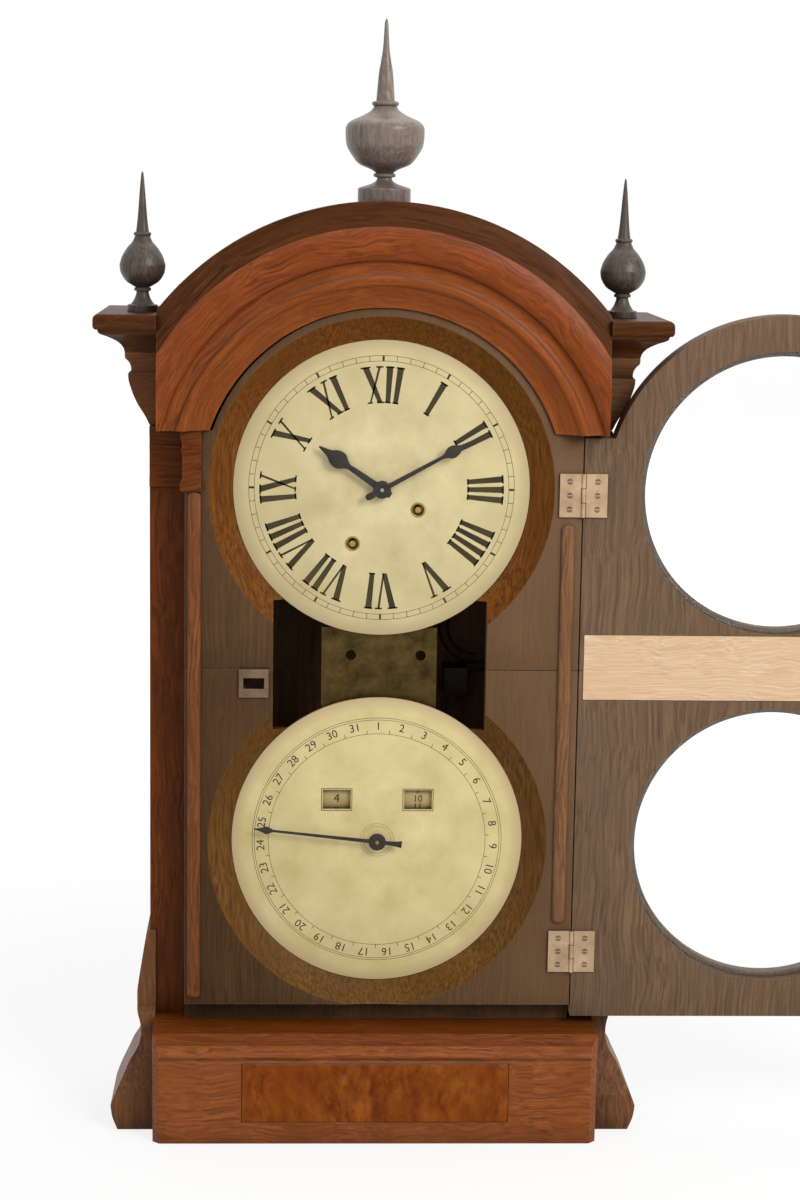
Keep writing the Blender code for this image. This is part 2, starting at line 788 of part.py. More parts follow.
def make_base_wing(side_name, sign):
    """A moulded wing that wraps the case's foot at one side and its front corner."""
    inner = BASE_BLOCK_HALF + GAP
    side = scaled(BASE_WING_SIDE_SHARES, BASE_WING_OUT, BASE_WING_HEIGHT)
    across = [(inner, 0)] + [(CASE_HALF + out, up) for out, up in side] + [(inner, BASE_WING_HEIGHT)]
    across = across if sign > 0 else mirrored(across)
    step = DOOR_FOOT - GAP - DOOR_ARCH_CLEARANCE / 2
    foot = scaled(BASE_WING_FOOT_SHARES, BASE_WING_OUT, step)
    depth = [(PILASTER_FRONT - out, up) for out, up in foot]
    depth.append((PILASTER_FRONT - BASE_WING_STEP_OUT, step))
    depth.append((PILASTER_FRONT - BASE_WING_STEP_OUT, (step + BASE_WING_HEIGHT) / 2))
    depth.append((PILASTER_FRONT - BASE_WING_STEP_OUT / 2, BASE_WING_HEIGHT))
    depth += [(WING_BACK, BASE_WING_HEIGHT), (WING_BACK, 0)]
    wing = facing(f"base_{side_name}_wing", across, BASE_FRONT - OVERRUN, BACK + OVERRUN)
    reach = CASE_HALF + BASE_WING_OUT + OVERRUN
    left, right = sorted((sign * (inner - OVERRUN), sign * reach))
    keep(wing, running(f"{side_name}_wing_depth", depth, left, right))
    core_left, core_right = sorted((sign * (inner - OVERRUN), sign * (CASE_HALF + GAP)))
    core = box(
        f"{side_name}_wing_core",
        (core_left, PILASTER_FRONT - GAP, -OVERRUN),
        (core_right, BACK + OVERRUN, BASE_WING_HEIGHT + OVERRUN),
    )
    finish(cut(wing, core), "case")


def make_case_walls():
    """Sides, pilasters, cheeks and the back board."""
    for side_name, sign in (("left", -1), ("right", 1)):
        left, right = sorted((sign * CASE_HALF, sign * (CASE_HALF - PANEL_THICK)))
        side = box(f"{side_name}_side", (left, PILASTER_BACK + GAP, 0), (right, BACK, MOULD_FOOT))
        finish(side, "case")
        left, right = sorted((sign * CASE_HALF, sign * (BODY_HALF + GAP)))
        pilaster = box(f"{side_name}_pilaster", (left, PILASTER_FRONT, 0), (right, PILASTER_BACK, MOULD_FOOT))
        finish(pilaster, "case")
        left, right = sorted((sign * BODY_HALF, sign * (BODY_HALF - CHEEK_THICK)))
        cheek = box(
            f"{side_name}_cheek",
            (left, BOARD_BACK + GAP, LEDGE_TOP + GAP),
            (right, PILASTER_BACK, SHOULDER),
        )
        finish(cheek, "case")
    half = CASE_HALF - PANEL_THICK - GAP
    radius = ROOF_OUTER - ROOF_THICK - GAP
    angle = math.acos(half / radius)
    top = arc(radius, angle, math.pi - angle, FINE_STEPS // 2, (0, TIME_CENTRE))
    back = facing("back_board", [(-half, 0), (half, 0), *top], BACK_BOARD_FRONT, BACK)
    finish(back, "hidden_wood")


def make_dial_boards():
    """The two boards around the dials, with splayed round openings and the slot between them."""
    board_arch = MOULD_INNER - GAP
    upper = facing(
        "upper_front_board",
        arched(BODY_HALF, SEAM + GAP / 2, SHOULDER, board_arch, TIME_CENTRE),
        FRONT,
        BOARD_BACK,
    )
    half = BODY_HALF
    low = LEDGE_TOP + GAP
    high = SEAM - GAP / 2
    plain = [(-half, low), (half, low), (half, high), (-half, high)]
    lower = facing("lower_front_board", plain, FRONT, BOARD_BACK)
    slot = box(
        "dial_slot",
        (-SLOT_HALF, FRONT - OVERRUN, SEAM - SLOT_BELOW),
        (SLOT_HALF, BOARD_BACK + OVERRUN, SEAM + SLOT_ABOVE),
    )
    grow = (SPLAY_RADIUS - DIAL_RADIUS) * OVERRUN / SPLAY_DEPTH
    for board, name, centre in ((upper, "time", TIME_CENTRE), (lower, "calendar", CALENDAR_CENTRE)):
        seat_radius = DIAL_RADIUS + GAP
        splay = cone(
            f"{name}_splay", seat_radius, SPLAY_RADIUS + grow, FRONT - OVERRUN, DIAL_FRONT, (0, centre)
        )
        seat = cone(f"{name}_seat", seat_radius, seat_radius, DIAL_FRONT, BOARD_BACK + OVERRUN, (0, centre))
        cut(board, join(splay, seat), slot)
    recess = box(
        "foot_recess",
        (-half - OVERRUN, FRONT - OVERRUN, low - OVERRUN),
        (half + OVERRUN, FRONT + RECESS_DEPTH, BOARD_FOOT),
    )
    pocket = rod(
        "latch_pocket",
        POCKET_RADIUS,
        (LATCH_X, FRONT - OVERRUN, LATCH_Z),
        (LATCH_X, FRONT + POCKET_DEPTH, LATCH_Z),
        "Y",
        SMALL_STEPS,
    )
    cut(lower, recess, pocket)
    finish(upper, "door_wood")
    finish(lower, "door_wood")


def bead_plan(sign):
    """The plan of a flattened half-round bead at one side."""
    middle = sign * (BODY_HALF - BEAD_INSET)
    face = FRONT - GAP
    points = []
    for index in range(SMALL_STEPS // 2 + 1):
        angle = math.pi * index / (SMALL_STEPS // 2)
        points.append((middle + BEAD_HALF * math.cos(angle), face - BEAD_PROUD * math.sin(angle)))
    return points


def make_beads():
    """A long bead at the open side and a shorter one between the hinges."""
    high = IMPOST_LOW - GAP
    finish(standing("left_bead", bead_plan(-1), BOARD_FOOT + BEAD_FOOT, high), "case")
    low = LOWER_HINGE + HINGE_HEIGHT / 2 + HINGE_SIDE_BEAD_FREE
    high = UPPER_HINGE - HINGE_HEIGHT / 2 - HINGE_SIDE_BEAD_FREE
    finish(standing("right_bead", bead_plan(1), low, high), "case")


def impost_path(proud, sign):
    """The outer line of an impost's plan, from the case's side inwards, for a share of its full depth."""
    front = PILASTER_FRONT - GAP - IMPOST_PROUD * proud
    if sign > 0:
        return [(CASE_HALF, front), (BODY_HALF + GAP, front)]
    outer = BODY_HALF + GAP + IMPOST_RETURN * proud
    board_front = FRONT - GAP - BEAD_PROUD * proud
    inner = BODY_HALF - IMPOST_INWARD
    return [(-CASE_HALF, front), (-outer, front), (-outer, board_front), (-inner, board_front)]


def impost_plan(sign):
    """The plan of an impost on a pilaster; the left one also wraps the body's corner."""
    face = PILASTER_FRONT - GAP
    body = BODY_HALF + GAP
    path = impost_path(1, sign)
    if sign > 0:
        return path + [(body, face), (CASE_HALF, face)]
    return path + [(path[-1][0], FRONT - GAP), (-body, FRONT - GAP), (-body, face), (-CASE_HALF, face)]


def impost_neck(sign):
    """The plan of what the neck of an impost lacks of its full depth."""
    path = impost_path(IMPOST_NECK_SHARE, sign)
    path[0] = (sign * (CASE_HALF + OVERRUN), path[0][1])
    if sign > 0:
        path[1] = (path[1][0] - OVERRUN, path[1][1])
        back = [(path[1][0], path[1][1] - OVERRUN), (path[0][0], path[0][1] - OVERRUN)]
        return path + back
    path[3] = (path[3][0] + OVERRUN, path[3][1])
    return path + [(across - OVERRUN, depth - OVERRUN) for across, depth in reversed(path)]


def make_imposts():
    """The banded imposts under the corbels."""
    for side_name, sign in (("left", -1), ("right", 1)):
        impost = standing(f"{side_name}_impost", impost_plan(sign), IMPOST_LOW, SHOULDER)
        neck = standing(
            f"{side_name}_impost_neck", impost_neck(sign), IMPOST_LOW + IMPOST_BAND, SHOULDER - IMPOST_BAND
        )
        finish(cut(impost, neck), "case")


def make_arch():
    """The moulded arch around the time dial and the roof behind it."""
    width = MOULD_OUTER - MOULD_INNER
    face = [(MOULD_INNER + across * width, proud * MOULD_PROUD) for across, proud in MOULD_SHARES]
    profile = [*face, (MOULD_OUTER, -BOARD_THICK), (MOULD_INNER, -BOARD_THICK)]
    arch = turned("arch_moulding", profile, (0, FRONT, TIME_CENTRE), "Y", FINE_STEPS)
    reach = MOULD_OUTER + OVERRUN
    clip = box(
        "arch_clip",
        (-MOULD_HALF, FRONT - MOULD_PROUD - OVERRUN, MOULD_FOOT),
        (MOULD_HALF, BOARD_BACK + OVERRUN, TIME_CENTRE + reach),
    )
    finish(keep(arch, clip), "case")
    inner = ROOF_OUTER - ROOF_THICK
    outer_angle = math.acos(MOULD_HALF / ROOF_OUTER)
    inner_angle = math.acos(MOULD_HALF / inner)
    steps = FINE_STEPS // 2
    top = arc(ROOF_OUTER, outer_angle, math.pi - outer_angle, steps, (0, TIME_CENTRE))
    under = arc(inner, math.pi - inner_angle, inner_angle, steps, (0, TIME_CENTRE))
    finish(facing("roof_shell", top + under, BOARD_BACK + GAP, BACK), "case")


def make_corner_block(name, side_points, front_points, low, high, sign):
    """A moulded block at the case's corner, with one outline to the side and one to the front."""
    inner = MOULD_HALF + GAP
    across = [(inner, low)] + [(CASE_HALF + out, low + up) for out, up in side_points] + [(inner, high)]
    across = across if sign > 0 else mirrored(across)
    depth = [(PILASTER_FRONT - out, low + up) for out, up in front_points] + [(BACK, high), (BACK, low)]
    block = facing(name, across, BASE_FRONT - OVERRUN, BACK + OVERRUN)
    reach = CASE_HALF + CAP_OUT + OVERRUN
    left, right = sorted((sign * (inner - OVERRUN), sign * reach))
    return keep(block, running(f"{name}_depth", depth, left, right))


def make_corners():
    """Corbels and caps at both sides of the arch."""
    corbel_low = MOULD_FOOT + GAP
    corbel_high = CORBEL_TOP - GAP
    corbel_height = corbel_high - corbel_low
    cap_height = CAP_TOP - CORBEL_TOP
    for side_name, sign in (("left", -1), ("right", 1)):
        corbel = make_corner_block(
            f"{side_name}_corbel",
            scaled(CORBEL_SIDE_SHARES, CORBEL_OUT, corbel_height),
            scaled(CORBEL_FRONT_SHARES, CORBEL_OUT, corbel_height),
            corbel_low,
            corbel_high,
            sign,
        )
        finish(corbel, "case")
        cap_profile = scaled(CAP_SHARES, CAP_OUT, cap_height)
        cap = make_corner_block(f"{side_name}_cap", cap_profile, cap_profile, CORBEL_TOP, CAP_TOP, sign)
        finish(cap, "case")


def make_finials():
    """A tall turned finial on the roof and a smaller one on each cap."""
    profile = scaled(SIDE_FINIAL_SHARES, SIDE_FINIAL_RADIUS, SIDE_FINIAL_HEIGHT)
    for side_name, sign in (("left", -1), ("right", 1)):
        spot = (sign * SIDE_FINIAL_X, SIDE_FINIAL_Y, CAP_TOP + GAP)
        finish(turned(f"{side_name}_finial", profile, spot, "Z", SMALL_STEPS), "finial")
    profile = scaled(CENTRE_FINIAL_SHARES, CENTRE_FINIAL_RADIUS, CENTRE_FINIAL_HEIGHT)
    seat = TIME_CENTRE + ROOF_OUTER - GAP
    finial = turned("centre_finial", profile, (0, CENTRE_FINIAL_Y, seat), "Z", SMALL_STEPS)
    saddle = cone("finial_saddle", ROOF_OUTER + GAP, ROOF_OUTER + GAP, FRONT, BACK, (0, TIME_CENTRE))
    finish(cut(finial, saddle), "finial")


def make_dials():
    """The two dials, let into the boards, with their holes and windows."""
    time_dial = cone("time_dial", DIAL_RADIUS, DIAL_RADIUS, DIAL_FRONT, DIAL_BACK, (0, TIME_CENTRE))
    holes = [((0, TIME_CENTRE), DIAL_HOLE)]
    for across, up in (TIME_WINDING, STRIKE_WINDING):
        holes.append(((across, TIME_CENTRE + up), WINDING_HOLE))
    for number, (middle, radius) in enumerate(holes):
        hole = cone(
            f"time_dial_hole_{number}",
            radius,
            radius,
            DIAL_FRONT - OVERRUN,
            DIAL_BACK + OVERRUN,
            middle,
            TINY_STEPS,
        )
        cut(time_dial, hole)
    finish(time_dial, "dial")
    calendar = cone("calendar_dial", DIAL_RADIUS, DIAL_RADIUS, DIAL_FRONT, DIAL_BACK, (0, CALENDAR_CENTRE))
    hole = cone(
        "calendar_dial_hole",
        DIAL_HOLE,
        DIAL_HOLE,
        DIAL_FRONT - OVERRUN,
        DIAL_BACK + OVERRUN,
        (0, CALENDAR_CENTRE),
        TINY_STEPS,
    )
    cut(calendar, hole)
    for name, middle in (("weekday", WEEKDAY_X), ("month", MONTH_X)):
        window = box(
            f"{name}_window",
            (middle - WINDOW_HALF, DIAL_FRONT - OVERRUN, ROLLER_Z - WINDOW_HALF_HEIGHT),
            (middle + WINDOW_HALF, DIAL_BACK + OVERRUN, ROLLER_Z + WINDOW_HALF_HEIGHT),
        )
        cut(calendar, window)
    finish(calendar, "dial")


def make_hand(name, shares, length, half_width, angle, front, centre, bore):
    """A flat hand with a round eye, bored for what it sits on."""
    points = hand_outline(shares, length, half_width, angle)
    hand = facing(name, points, FRONT + front, FRONT + front + HAND_THICK, (0, centre))
    eye = cone(
        f"{name}_eye", HAND_EYE, HAND_EYE, FRONT + front, FRONT + front + HAND_THICK, (0, centre), SMALL_STEPS
    )
    hole = cone(
        f"{name}_hole",
        bore,
        bore,
        FRONT + front - OVERRUN,
        FRONT + front + HAND_THICK + OVERRUN,
        (0, centre),
        TINY_STEPS,
    )
    return cut(join(hand, eye), hole)


def make_hands():
    """Minute hand, hour hand with its pipe, and date hand."""
    seat = ARBOR_RADIUS + GAP
    minute = make_hand(
        "minute_hand",
        MINUTE_HAND_SHARES,
        MINUTE_LENGTH,
        MINUTE_HALF_WIDTH,
        MINUTE_ANGLE,
        MINUTE_FRONT,
        TIME_CENTRE,
        seat,
    )
    finish(minute, "hand")
    bore = ARBOR_RADIUS + RUNNING_FREE
    hour = make_hand(
        "hour_hand",
        HOUR_HAND_SHARES,
        HOUR_LENGTH,
        HOUR_HALF_WIDTH,
        HOUR_ANGLE,
        HOUR_FRONT,
        TIME_CENTRE,
        bore,
    )
    pipe_front = FRONT + HOUR_FRONT
    pipe_back = MOVEMENT_FRONT - GAP
    pipe = cone(
        "hour_pipe",
        bore + PIPE_WALL,
        bore + PIPE_WALL,
        pipe_front + HAND_THICK / 2,
        pipe_back,
        (0, TIME_CENTRE),
        TINY_STEPS,
    )
    pipe_bore = cone(
        "hour_pipe_bore", bore, bore, pipe_front - OVERRUN, pipe_back + OVERRUN, (0, TIME_CENTRE), TINY_STEPS
    )
    finish(cut(join(hour, pipe), pipe_bore), "hand")
    date = make_hand(
        "date_hand",
        DATE_HAND_SHARES,
        DATE_LENGTH,
        DATE_HALF_WIDTH,
        DATE_ANGLE,
        DATE_FRONT,
        CALENDAR_CENTRE,
        seat,
    )
    finish(date, "hand")


def plate_hole(name, radius, front, back, middle, steps=TINY_STEPS):
    """A round cutter through a plate."""
    return cone(name, radius, radius, front - OVERRUN, back + OVERRUN, middle, steps)


def make_movement_plates():
    """The movement's two plates. The back one carries the pillars, the posts and the pendulum's cock."""
    half = MOVEMENT_HALF
    low = TIME_CENTRE - MOVEMENT_BELOW
    high = TIME_CENTRE + MOVEMENT_ABOVE
    corners = []
    for across in (-half + PILLAR_INSET, half - PILLAR_INSET):
        for up in (low + PILLAR_INSET, high - PILLAR_INSET):
            corners.append((across, up))
    front_back = MOVEMENT_FRONT + PLATE_THICK
    front = box("movement_front_plate", (-half, MOVEMENT_FRONT, low), (half, front_back, high))
    back_face = MOVEMENT_BACK + PLATE_THICK
    back = box("movement_back_plate", (-half, MOVEMENT_BACK, low), (half, back_face, high))
    arbors = [("centre", 0, 0, ARBOR_RADIUS)]
    arbors.append(("time", *TIME_WINDING, WINDING_RADIUS))
    arbors.append(("strike", *STRIKE_WINDING, WINDING_RADIUS))
    arbors.append(("crutch", 0, PENDULUM_PIVOT - TIME_CENTRE, CRUTCH_WIRE))
    for name, across, up, radius in arbors:
        middle = (across, TIME_CENTRE + up)
        free = radius + RUNNING_FREE
        cut(front, plate_hole(f"{name}_front_bearing", free, MOVEMENT_FRONT, front_back, middle))
        cut(back, plate_hole(f"{name}_back_bearing", free, MOVEMENT_BACK, back_face, middle))
    for number, middle in enumerate(corners):
        pillar_front = MOVEMENT_FRONT + PLATE_THICK + GAP
        pillar = cone(
            f"pillar_{number}",
            PILLAR_RADIUS,
            PILLAR_RADIUS,
            pillar_front,
            BACK_BOARD_FRONT - GAP,
            middle,
            TINY_STEPS,
        )
        join(back, pillar)
    cock_front = MOVEMENT_BACK + PLATE_THICK / 2
    cock_z = PENDULUM_PIVOT + EYE_RADIUS - ROD_THICK - COCK_RADIUS - GAP
    cock = cone(
        "pendulum_cock",
        COCK_RADIUS,
        COCK_RADIUS,
        cock_front,
        PENDULUM_Y + ROD_THICK * 2,
        (0, cock_z),
        TINY_STEPS,
    )
    hammer_pin = cone(
        "hammer_pin",
        HAMMER_PIN,
        HAMMER_PIN,
        cock_front,
        HAMMER_FRONT + HAMMER_ARM * 2,
        (HAMMER_X, HAMMER_PIVOT),
        TINY_STEPS,
    )
    join(back, cock, hammer_pin)
    finish(front, "brass")
    finish(back, "brass")


def make_train():
    """The two winding barrels and the centre arbor."""
    wheel_front = MOVEMENT_FRONT + PLATE_THICK + WHEEL_BACK
    wheel_back = wheel_front + WHEEL_THICK
    for name, (across, up) in (("time", TIME_WINDING), ("strike", STRIKE_WINDING)):
        middle = (across, TIME_CENTRE + up)
        wheel = facing(
            f"{name}_barrel", gear(GREAT_WHEEL_TEETH, GREAT_WHEEL_RADIUS), wheel_front, wheel_back, middle
        )
        drum = cone(
            f"{name}_drum",
            DRUM_RADIUS,
            DRUM_RADIUS,
            wheel_back - WHEEL_THICK / 2,
            wheel_back + DRUM_DEPTH,
            middle,
            MIDDLE_STEPS,
        )
        arbor = cone(
            f"{name}_winding_arbor",
            WINDING_RADIUS,
            WINDING_RADIUS,
            DIAL_FRONT + GAP,
            MOVEMENT_BACK + PLATE_THICK,
            middle,
            TINY_STEPS,
        )
        finish(join(wheel, drum, arbor), "brass")
    middle = (0, TIME_CENTRE)
    centre_front = wheel_back + DRUM_DEPTH + WHEEL_THICK
    centre = facing(
        "centre_arbor",
        gear(CENTRE_WHEEL_TEETH, CENTRE_WHEEL_RADIUS),
        centre_front,
        centre_front + WHEEL_THICK,
        middle,
    )
    shaft = cone(
        "centre_shaft",
        ARBOR_RADIUS,
        ARBOR_RADIUS,
        FRONT + MINUTE_FRONT - HAND_THICK,
        MOVEMENT_BACK + PLATE_THICK,
        middle,
        TINY_STEPS,
    )
    finish(join(centre, shaft), "steel")


def pivot(name, spot):
    """An empty on a joint's axis, which carries the pieces that turn there."""
    return place(name, None, Matrix.Translation(spot))


def carry(axis, *pieces):
    """Parents pieces, and the tools that shape them, to an empty, where they stand."""
    back = axis.matrix_world.inverted()
    for piece in pieces:
        for modifier in piece.modifiers:
            if modifier.type == "BOOLEAN" and modifier.object.parent is None:
                carry(axis, modifier.object)
        piece.parent = axis
        piece.matrix_parent_inverse = back


def make_pendulum():
    """The pendulum rod with its eye, the bob and the crutch that guides the rod."""
    axis = pivot("pendulum_pivot", (0, PENDULUM_Y, PENDULUM_PIVOT))
    strip = box(
        "pendulum_rod",
        (-ROD_HALF, PENDULUM_Y - ROD_THICK / 2, PENDULUM_PIVOT - ROD_LENGTH),
        (ROD_HALF, PENDULUM_Y + ROD_THICK / 2, PENDULUM_PIVOT),
    )
    eye = cone(
        "rod_eye",
        EYE_RADIUS,
        EYE_RADIUS,
        PENDULUM_Y - ROD_THICK / 2,
        PENDULUM_Y + ROD_THICK / 2,
        (0, PENDULUM_PIVOT),
        SMALL_STEPS,
    )
    eye_hole = plate_hole(
        "rod_eye_hole",
        EYE_RADIUS - ROD_THICK,
        PENDULUM_Y - ROD_THICK,
        PENDULUM_Y + ROD_THICK,
        (0, PENDULUM_PIVOT),
        SMALL_STEPS,
    )
    cut(join(strip, eye), eye_hole)
    finish(strip, "steel")
    bob_z = PENDULUM_PIVOT - ROD_LENGTH + BOB_ABOVE_END
    bob = turned(
        "pendulum_bob",
        scaled(BOB_SHARES, BOB_RADIUS, BOB_HALF_THICK),
        (0, PENDULUM_Y, bob_z),
        "Y",
        MIDDLE_STEPS,
    )
    rod_way = box(
        "bob_way",
        (-ROD_HALF - GAP, PENDULUM_Y - ROD_THICK / 2 - GAP, bob_z - BOB_RADIUS - OVERRUN),
        (ROD_HALF + GAP, PENDULUM_Y + ROD_THICK / 2 + GAP, bob_z + BOB_RADIUS + OVERRUN),
    )
    finish(cut(bob, rod_way), "brass")
    bend = MOVEMENT_BACK + PLATE_THICK + PENDULUM_BEHIND / 3 - PENDULUM_Y
    start = MOVEMENT_FRONT + PLATE_THICK / 2 - PENDULUM_Y
    route = [
        (0, start, 0),
        (0, bend, 0),
        (0, bend, -CRUTCH_DROP),
        (CRUTCH_SIDE, bend, -CRUTCH_DROP - CRUTCH_SIDE),
        (CRUTCH_SIDE, ROD_THICK * 2, -CRUTCH_DROP - CRUTCH_SIDE),
    ]
    crutch = wire("crutch", route, CRUTCH_WIRE, Matrix.Translation((0, PENDULUM_Y, PENDULUM_PIVOT)))
    finish(crutch, "steel")
    carry(axis, strip, bob, crutch)


def gong_route():
    """The gong's coil, wound inwards from its outer end, with a straight tail into the block."""
    points = [(GONG_BLOCK_HALF * 2 - GONG_OUTER, 0, -GONG_OUTER)]
    for index in range(GONG_TURNS * GONG_POINTS_PER_TURN + 1):
        turns = index / GONG_POINTS_PER_TURN
        radius = GONG_OUTER - GONG_PITCH * turns
        angle = math.tau * turns - math.pi / 2
        points.append((radius * math.cos(angle), 0, radius * math.sin(angle)))
    return points


def least_coil_gap():
    """The smallest space between two turns of the gong's wire."""
    turns = gong_route()[1:]
    least = math.inf
    for first in range(len(turns)):
        for second in range(first + GONG_POINTS_PER_TURN // 2, len(turns)):
            least = min(least, (Vector(turns[first]) - Vector(turns[second])).length)
    return least - 2 * GONG_WIRE


def make_strike():
    """The hammer, the gong's coil and the block that holds it."""
    arm_front = HAMMER_FRONT
    arm_back = arm_front + HAMMER_ARM
    middle = (HAMMER_X, HAMMER_PIVOT)
    half = HAMMER_ARM * 2
    arm = facing(
        "hammer",
        [(-half, -HAMMER_LENGTH), (half, -HAMMER_LENGTH), (half, 0), (-half, 0)],
        arm_front,
        arm_back,
        middle,
    )
    hub_radius = HAMMER_PIN * 2
    hub = cone("hammer_hub", hub_radius, hub_radius, arm_front, arm_back, middle, SMALL_STEPS)
    head_y = (arm_front + arm_back) / 2
    head_z = HAMMER_PIVOT - HAMMER_LENGTH
    head = rod(
        "hammer_head",
        HAMMER_HEAD_RADIUS,
        (HAMMER_X - HAMMER_HEAD_LENGTH / 2, head_y, head_z),
        (HAMMER_X + HAMMER_HEAD_LENGTH / 2, head_y, head_z),
        "X",
    )
    bore = plate_hole("hammer_bore", HAMMER_PIN + RUNNING_FREE, arm_front, arm_back, middle)
    finish(cut(join(arm, hub, head), bore), "steel")
    coil_y = BACK_BOARD_FRONT - GONG_FROM_BACK
    gong = wire("gong", gong_route(), GONG_WIRE, Matrix.Translation((GONG_X, coil_y, GONG_Z)))
    print(f"gong: least gap between turns {least_coil_gap() * 1000:.2f} mm")
    finish(gong, "steel")
    tail_x = GONG_X + GONG_BLOCK_HALF * 2 - GONG_OUTER
    block_right = tail_x + GONG_BLOCK_HALF
    block = box(
        "gong_block",
        (tail_x - GONG_BLOCK_HALF, coil_y - GONG_BLOCK_HALF, GONG_Z - GONG_OUTER - GONG_BLOCK_BELOW),
        (block_right, BACK_BOARD_FRONT - GAP, GONG_Z - GONG_OUTER + GONG_BLOCK_ABOVE),
    )
    way = rod(
        "gong_way",
        GONG_WIRE + GAP,
        (tail_x - GONG_WIRE, coil_y, GONG_Z - GONG_OUTER),
        (block_right + OVERRUN, coil_y, GONG_Z - GONG_OUTER),
        "X",
        SMALL_STEPS,
    )
    finish(cut(block, way), "iron")


def make_calendar_plates():
    """The calendar work's plates. The front one has ears for the two rollers."""
    half = CALENDAR_PLATE_HALF
    front_back = CALENDAR_FRONT + PLATE_THICK
    front = box(
        "calendar_front_plate",
        (-half, CALENDAR_FRONT, CALENDAR_PLATE_LOW),
        (half, front_back, CALENDAR_PLATE_HIGH),
    )
    for number, (across, up) in enumerate(PLATE_HOLES):
        spot = (across, SEAM + up)
        cut(front, plate_hole(f"plate_hole_{number}", PLATE_HOLE_RADIUS, CALENDAR_FRONT, front_back, spot))
    bearing = ARBOR_RADIUS + RUNNING_FREE
    middle = (0, CALENDAR_CENTRE)
    cut(front, plate_hole("date_front_bearing", bearing, CALENDAR_FRONT, front_back, middle))
    for name, across in (("weekday", WEEKDAY_X), ("month", MONTH_X)):
        room = ROLLER_HALF + ROLLER_FREE
        tall = ROLLER_RADIUS + ROLLER_FREE
        opening = box(
            f"{name}_room",
            (across - room, CALENDAR_FRONT - OVERRUN, ROLLER_Z - tall),
            (across + room, front_back + OVERRUN, ROLLER_Z + tall),
        )
        cut(front, opening)
        for ear_name, sign in (("left", -1), ("right", 1)):
            near, far = sorted((across + sign * room, across + sign * (room + EAR_THICK)))
            ear = box(
                f"{name}_{ear_name}_ear",
                (near, front_back - PLATE_THICK / 2, ROLLER_Z - EAR_HALF),
                (far, ROLLER_Y + EAR_HALF, ROLLER_Z + EAR_HALF),
            )
            join(front, ear)
        reach = room + EAR_THICK + OVERRUN
        bore = rod(
            f"{name}_ear_bore",
            ROLLER_ARBOR + RUNNING_FREE,
            (across - reach, ROLLER_Y, ROLLER_Z),
            (across + reach, ROLLER_Y, ROLLER_Z),
            "X",
        )
        cut(front, bore)
    finish(front, "brass")
    back_face = CALENDAR_BACK + PLATE_THICK
    back_half = DATE_WHEEL_RADIUS + PILLAR_RADIUS * 2 + PILLAR_INSET
    low = CALENDAR_PLATE_LOW
    high = ROLLER_Z - ROLLER_RADIUS
    back = box("calendar_back_plate", (-back_half, CALENDAR_BACK, low), (back_half, back_face, high))
    cut(back, plate_hole("date_back_bearing", bearing, CALENDAR_BACK, back_face, middle))
    number = 0
    for across in (-back_half + PILLAR_INSET, back_half - PILLAR_INSET):
        for up in (low + PILLAR_INSET, high - PILLAR_INSET * 2):
            pillar = cone(
                f"calendar_pillar_{number}",
                PILLAR_RADIUS,
                PILLAR_RADIUS,
                front_back + GAP,
                BACK_BOARD_FRONT - GAP,
                (across, up),
                TINY_STEPS,
            )
            join(back, pillar)
            number += 1
    finish(back, "brass")


def make_calendar_work():
    """The weekday and month rollers and the date arbor with its toothed wheel."""
    for name, across in (("weekday_roller", WEEKDAY_X), ("month_roller", MONTH_X)):
        tip = ROLLER_HALF + ROLLER_FREE + EAR_THICK
        profile = [
            (0, tip),
            (ROLLER_ARBOR, tip),
            (ROLLER_ARBOR, ROLLER_HALF),
            (ROLLER_RADIUS, ROLLER_HALF),
            (ROLLER_RADIUS, -ROLLER_HALF),
            (ROLLER_ARBOR, -ROLLER_HALF),
            (ROLLER_ARBOR, -tip),
            (0, -tip),
        ]
        finish(turned(name, profile, (across, ROLLER_Y, ROLLER_Z), "X", SMALL_STEPS), "paper")
    middle = (0, CALENDAR_CENTRE)
    wheel_front = CALENDAR_BACK - WHEEL_BACK - WHEEL_THICK
    teeth = gear(DATE_WHEEL_TEETH, DATE_WHEEL_RADIUS)
    wheel = facing("date_arbor", teeth, wheel_front, wheel_front + WHEEL_THICK, middle)
    shaft = cone(
        "date_shaft",
        ARBOR_RADIUS,
        ARBOR_RADIUS,
        FRONT + DATE_FRONT - HAND_THICK,
        CALENDAR_BACK + PLATE_THICK,
        middle,
        TINY_STEPS,
    )
    finish(join(wheel, shaft), "brass")


def window_cutter(name, centre):
    """The round window of a door frame with the wider rebate for its pane."""
    rebate_bottom = DOOR_BACK - PANE_SETBACK - PANE_THICK - GAP
    opening = cone(
        f"{name}_window_cut", WINDOW_RADIUS, WINDOW_RADIUS, DOOR_FRONT - OVERRUN, DOOR_BACK, (0, centre)
    )
    rebate_radius = WINDOW_RADIUS + PANE_LAP
    rebate = cone(
        f"{name}_rebate", rebate_radius, rebate_radius, rebate_bottom, DOOR_BACK + OVERRUN, (0, centre)
    )
    return join(opening, rebate)


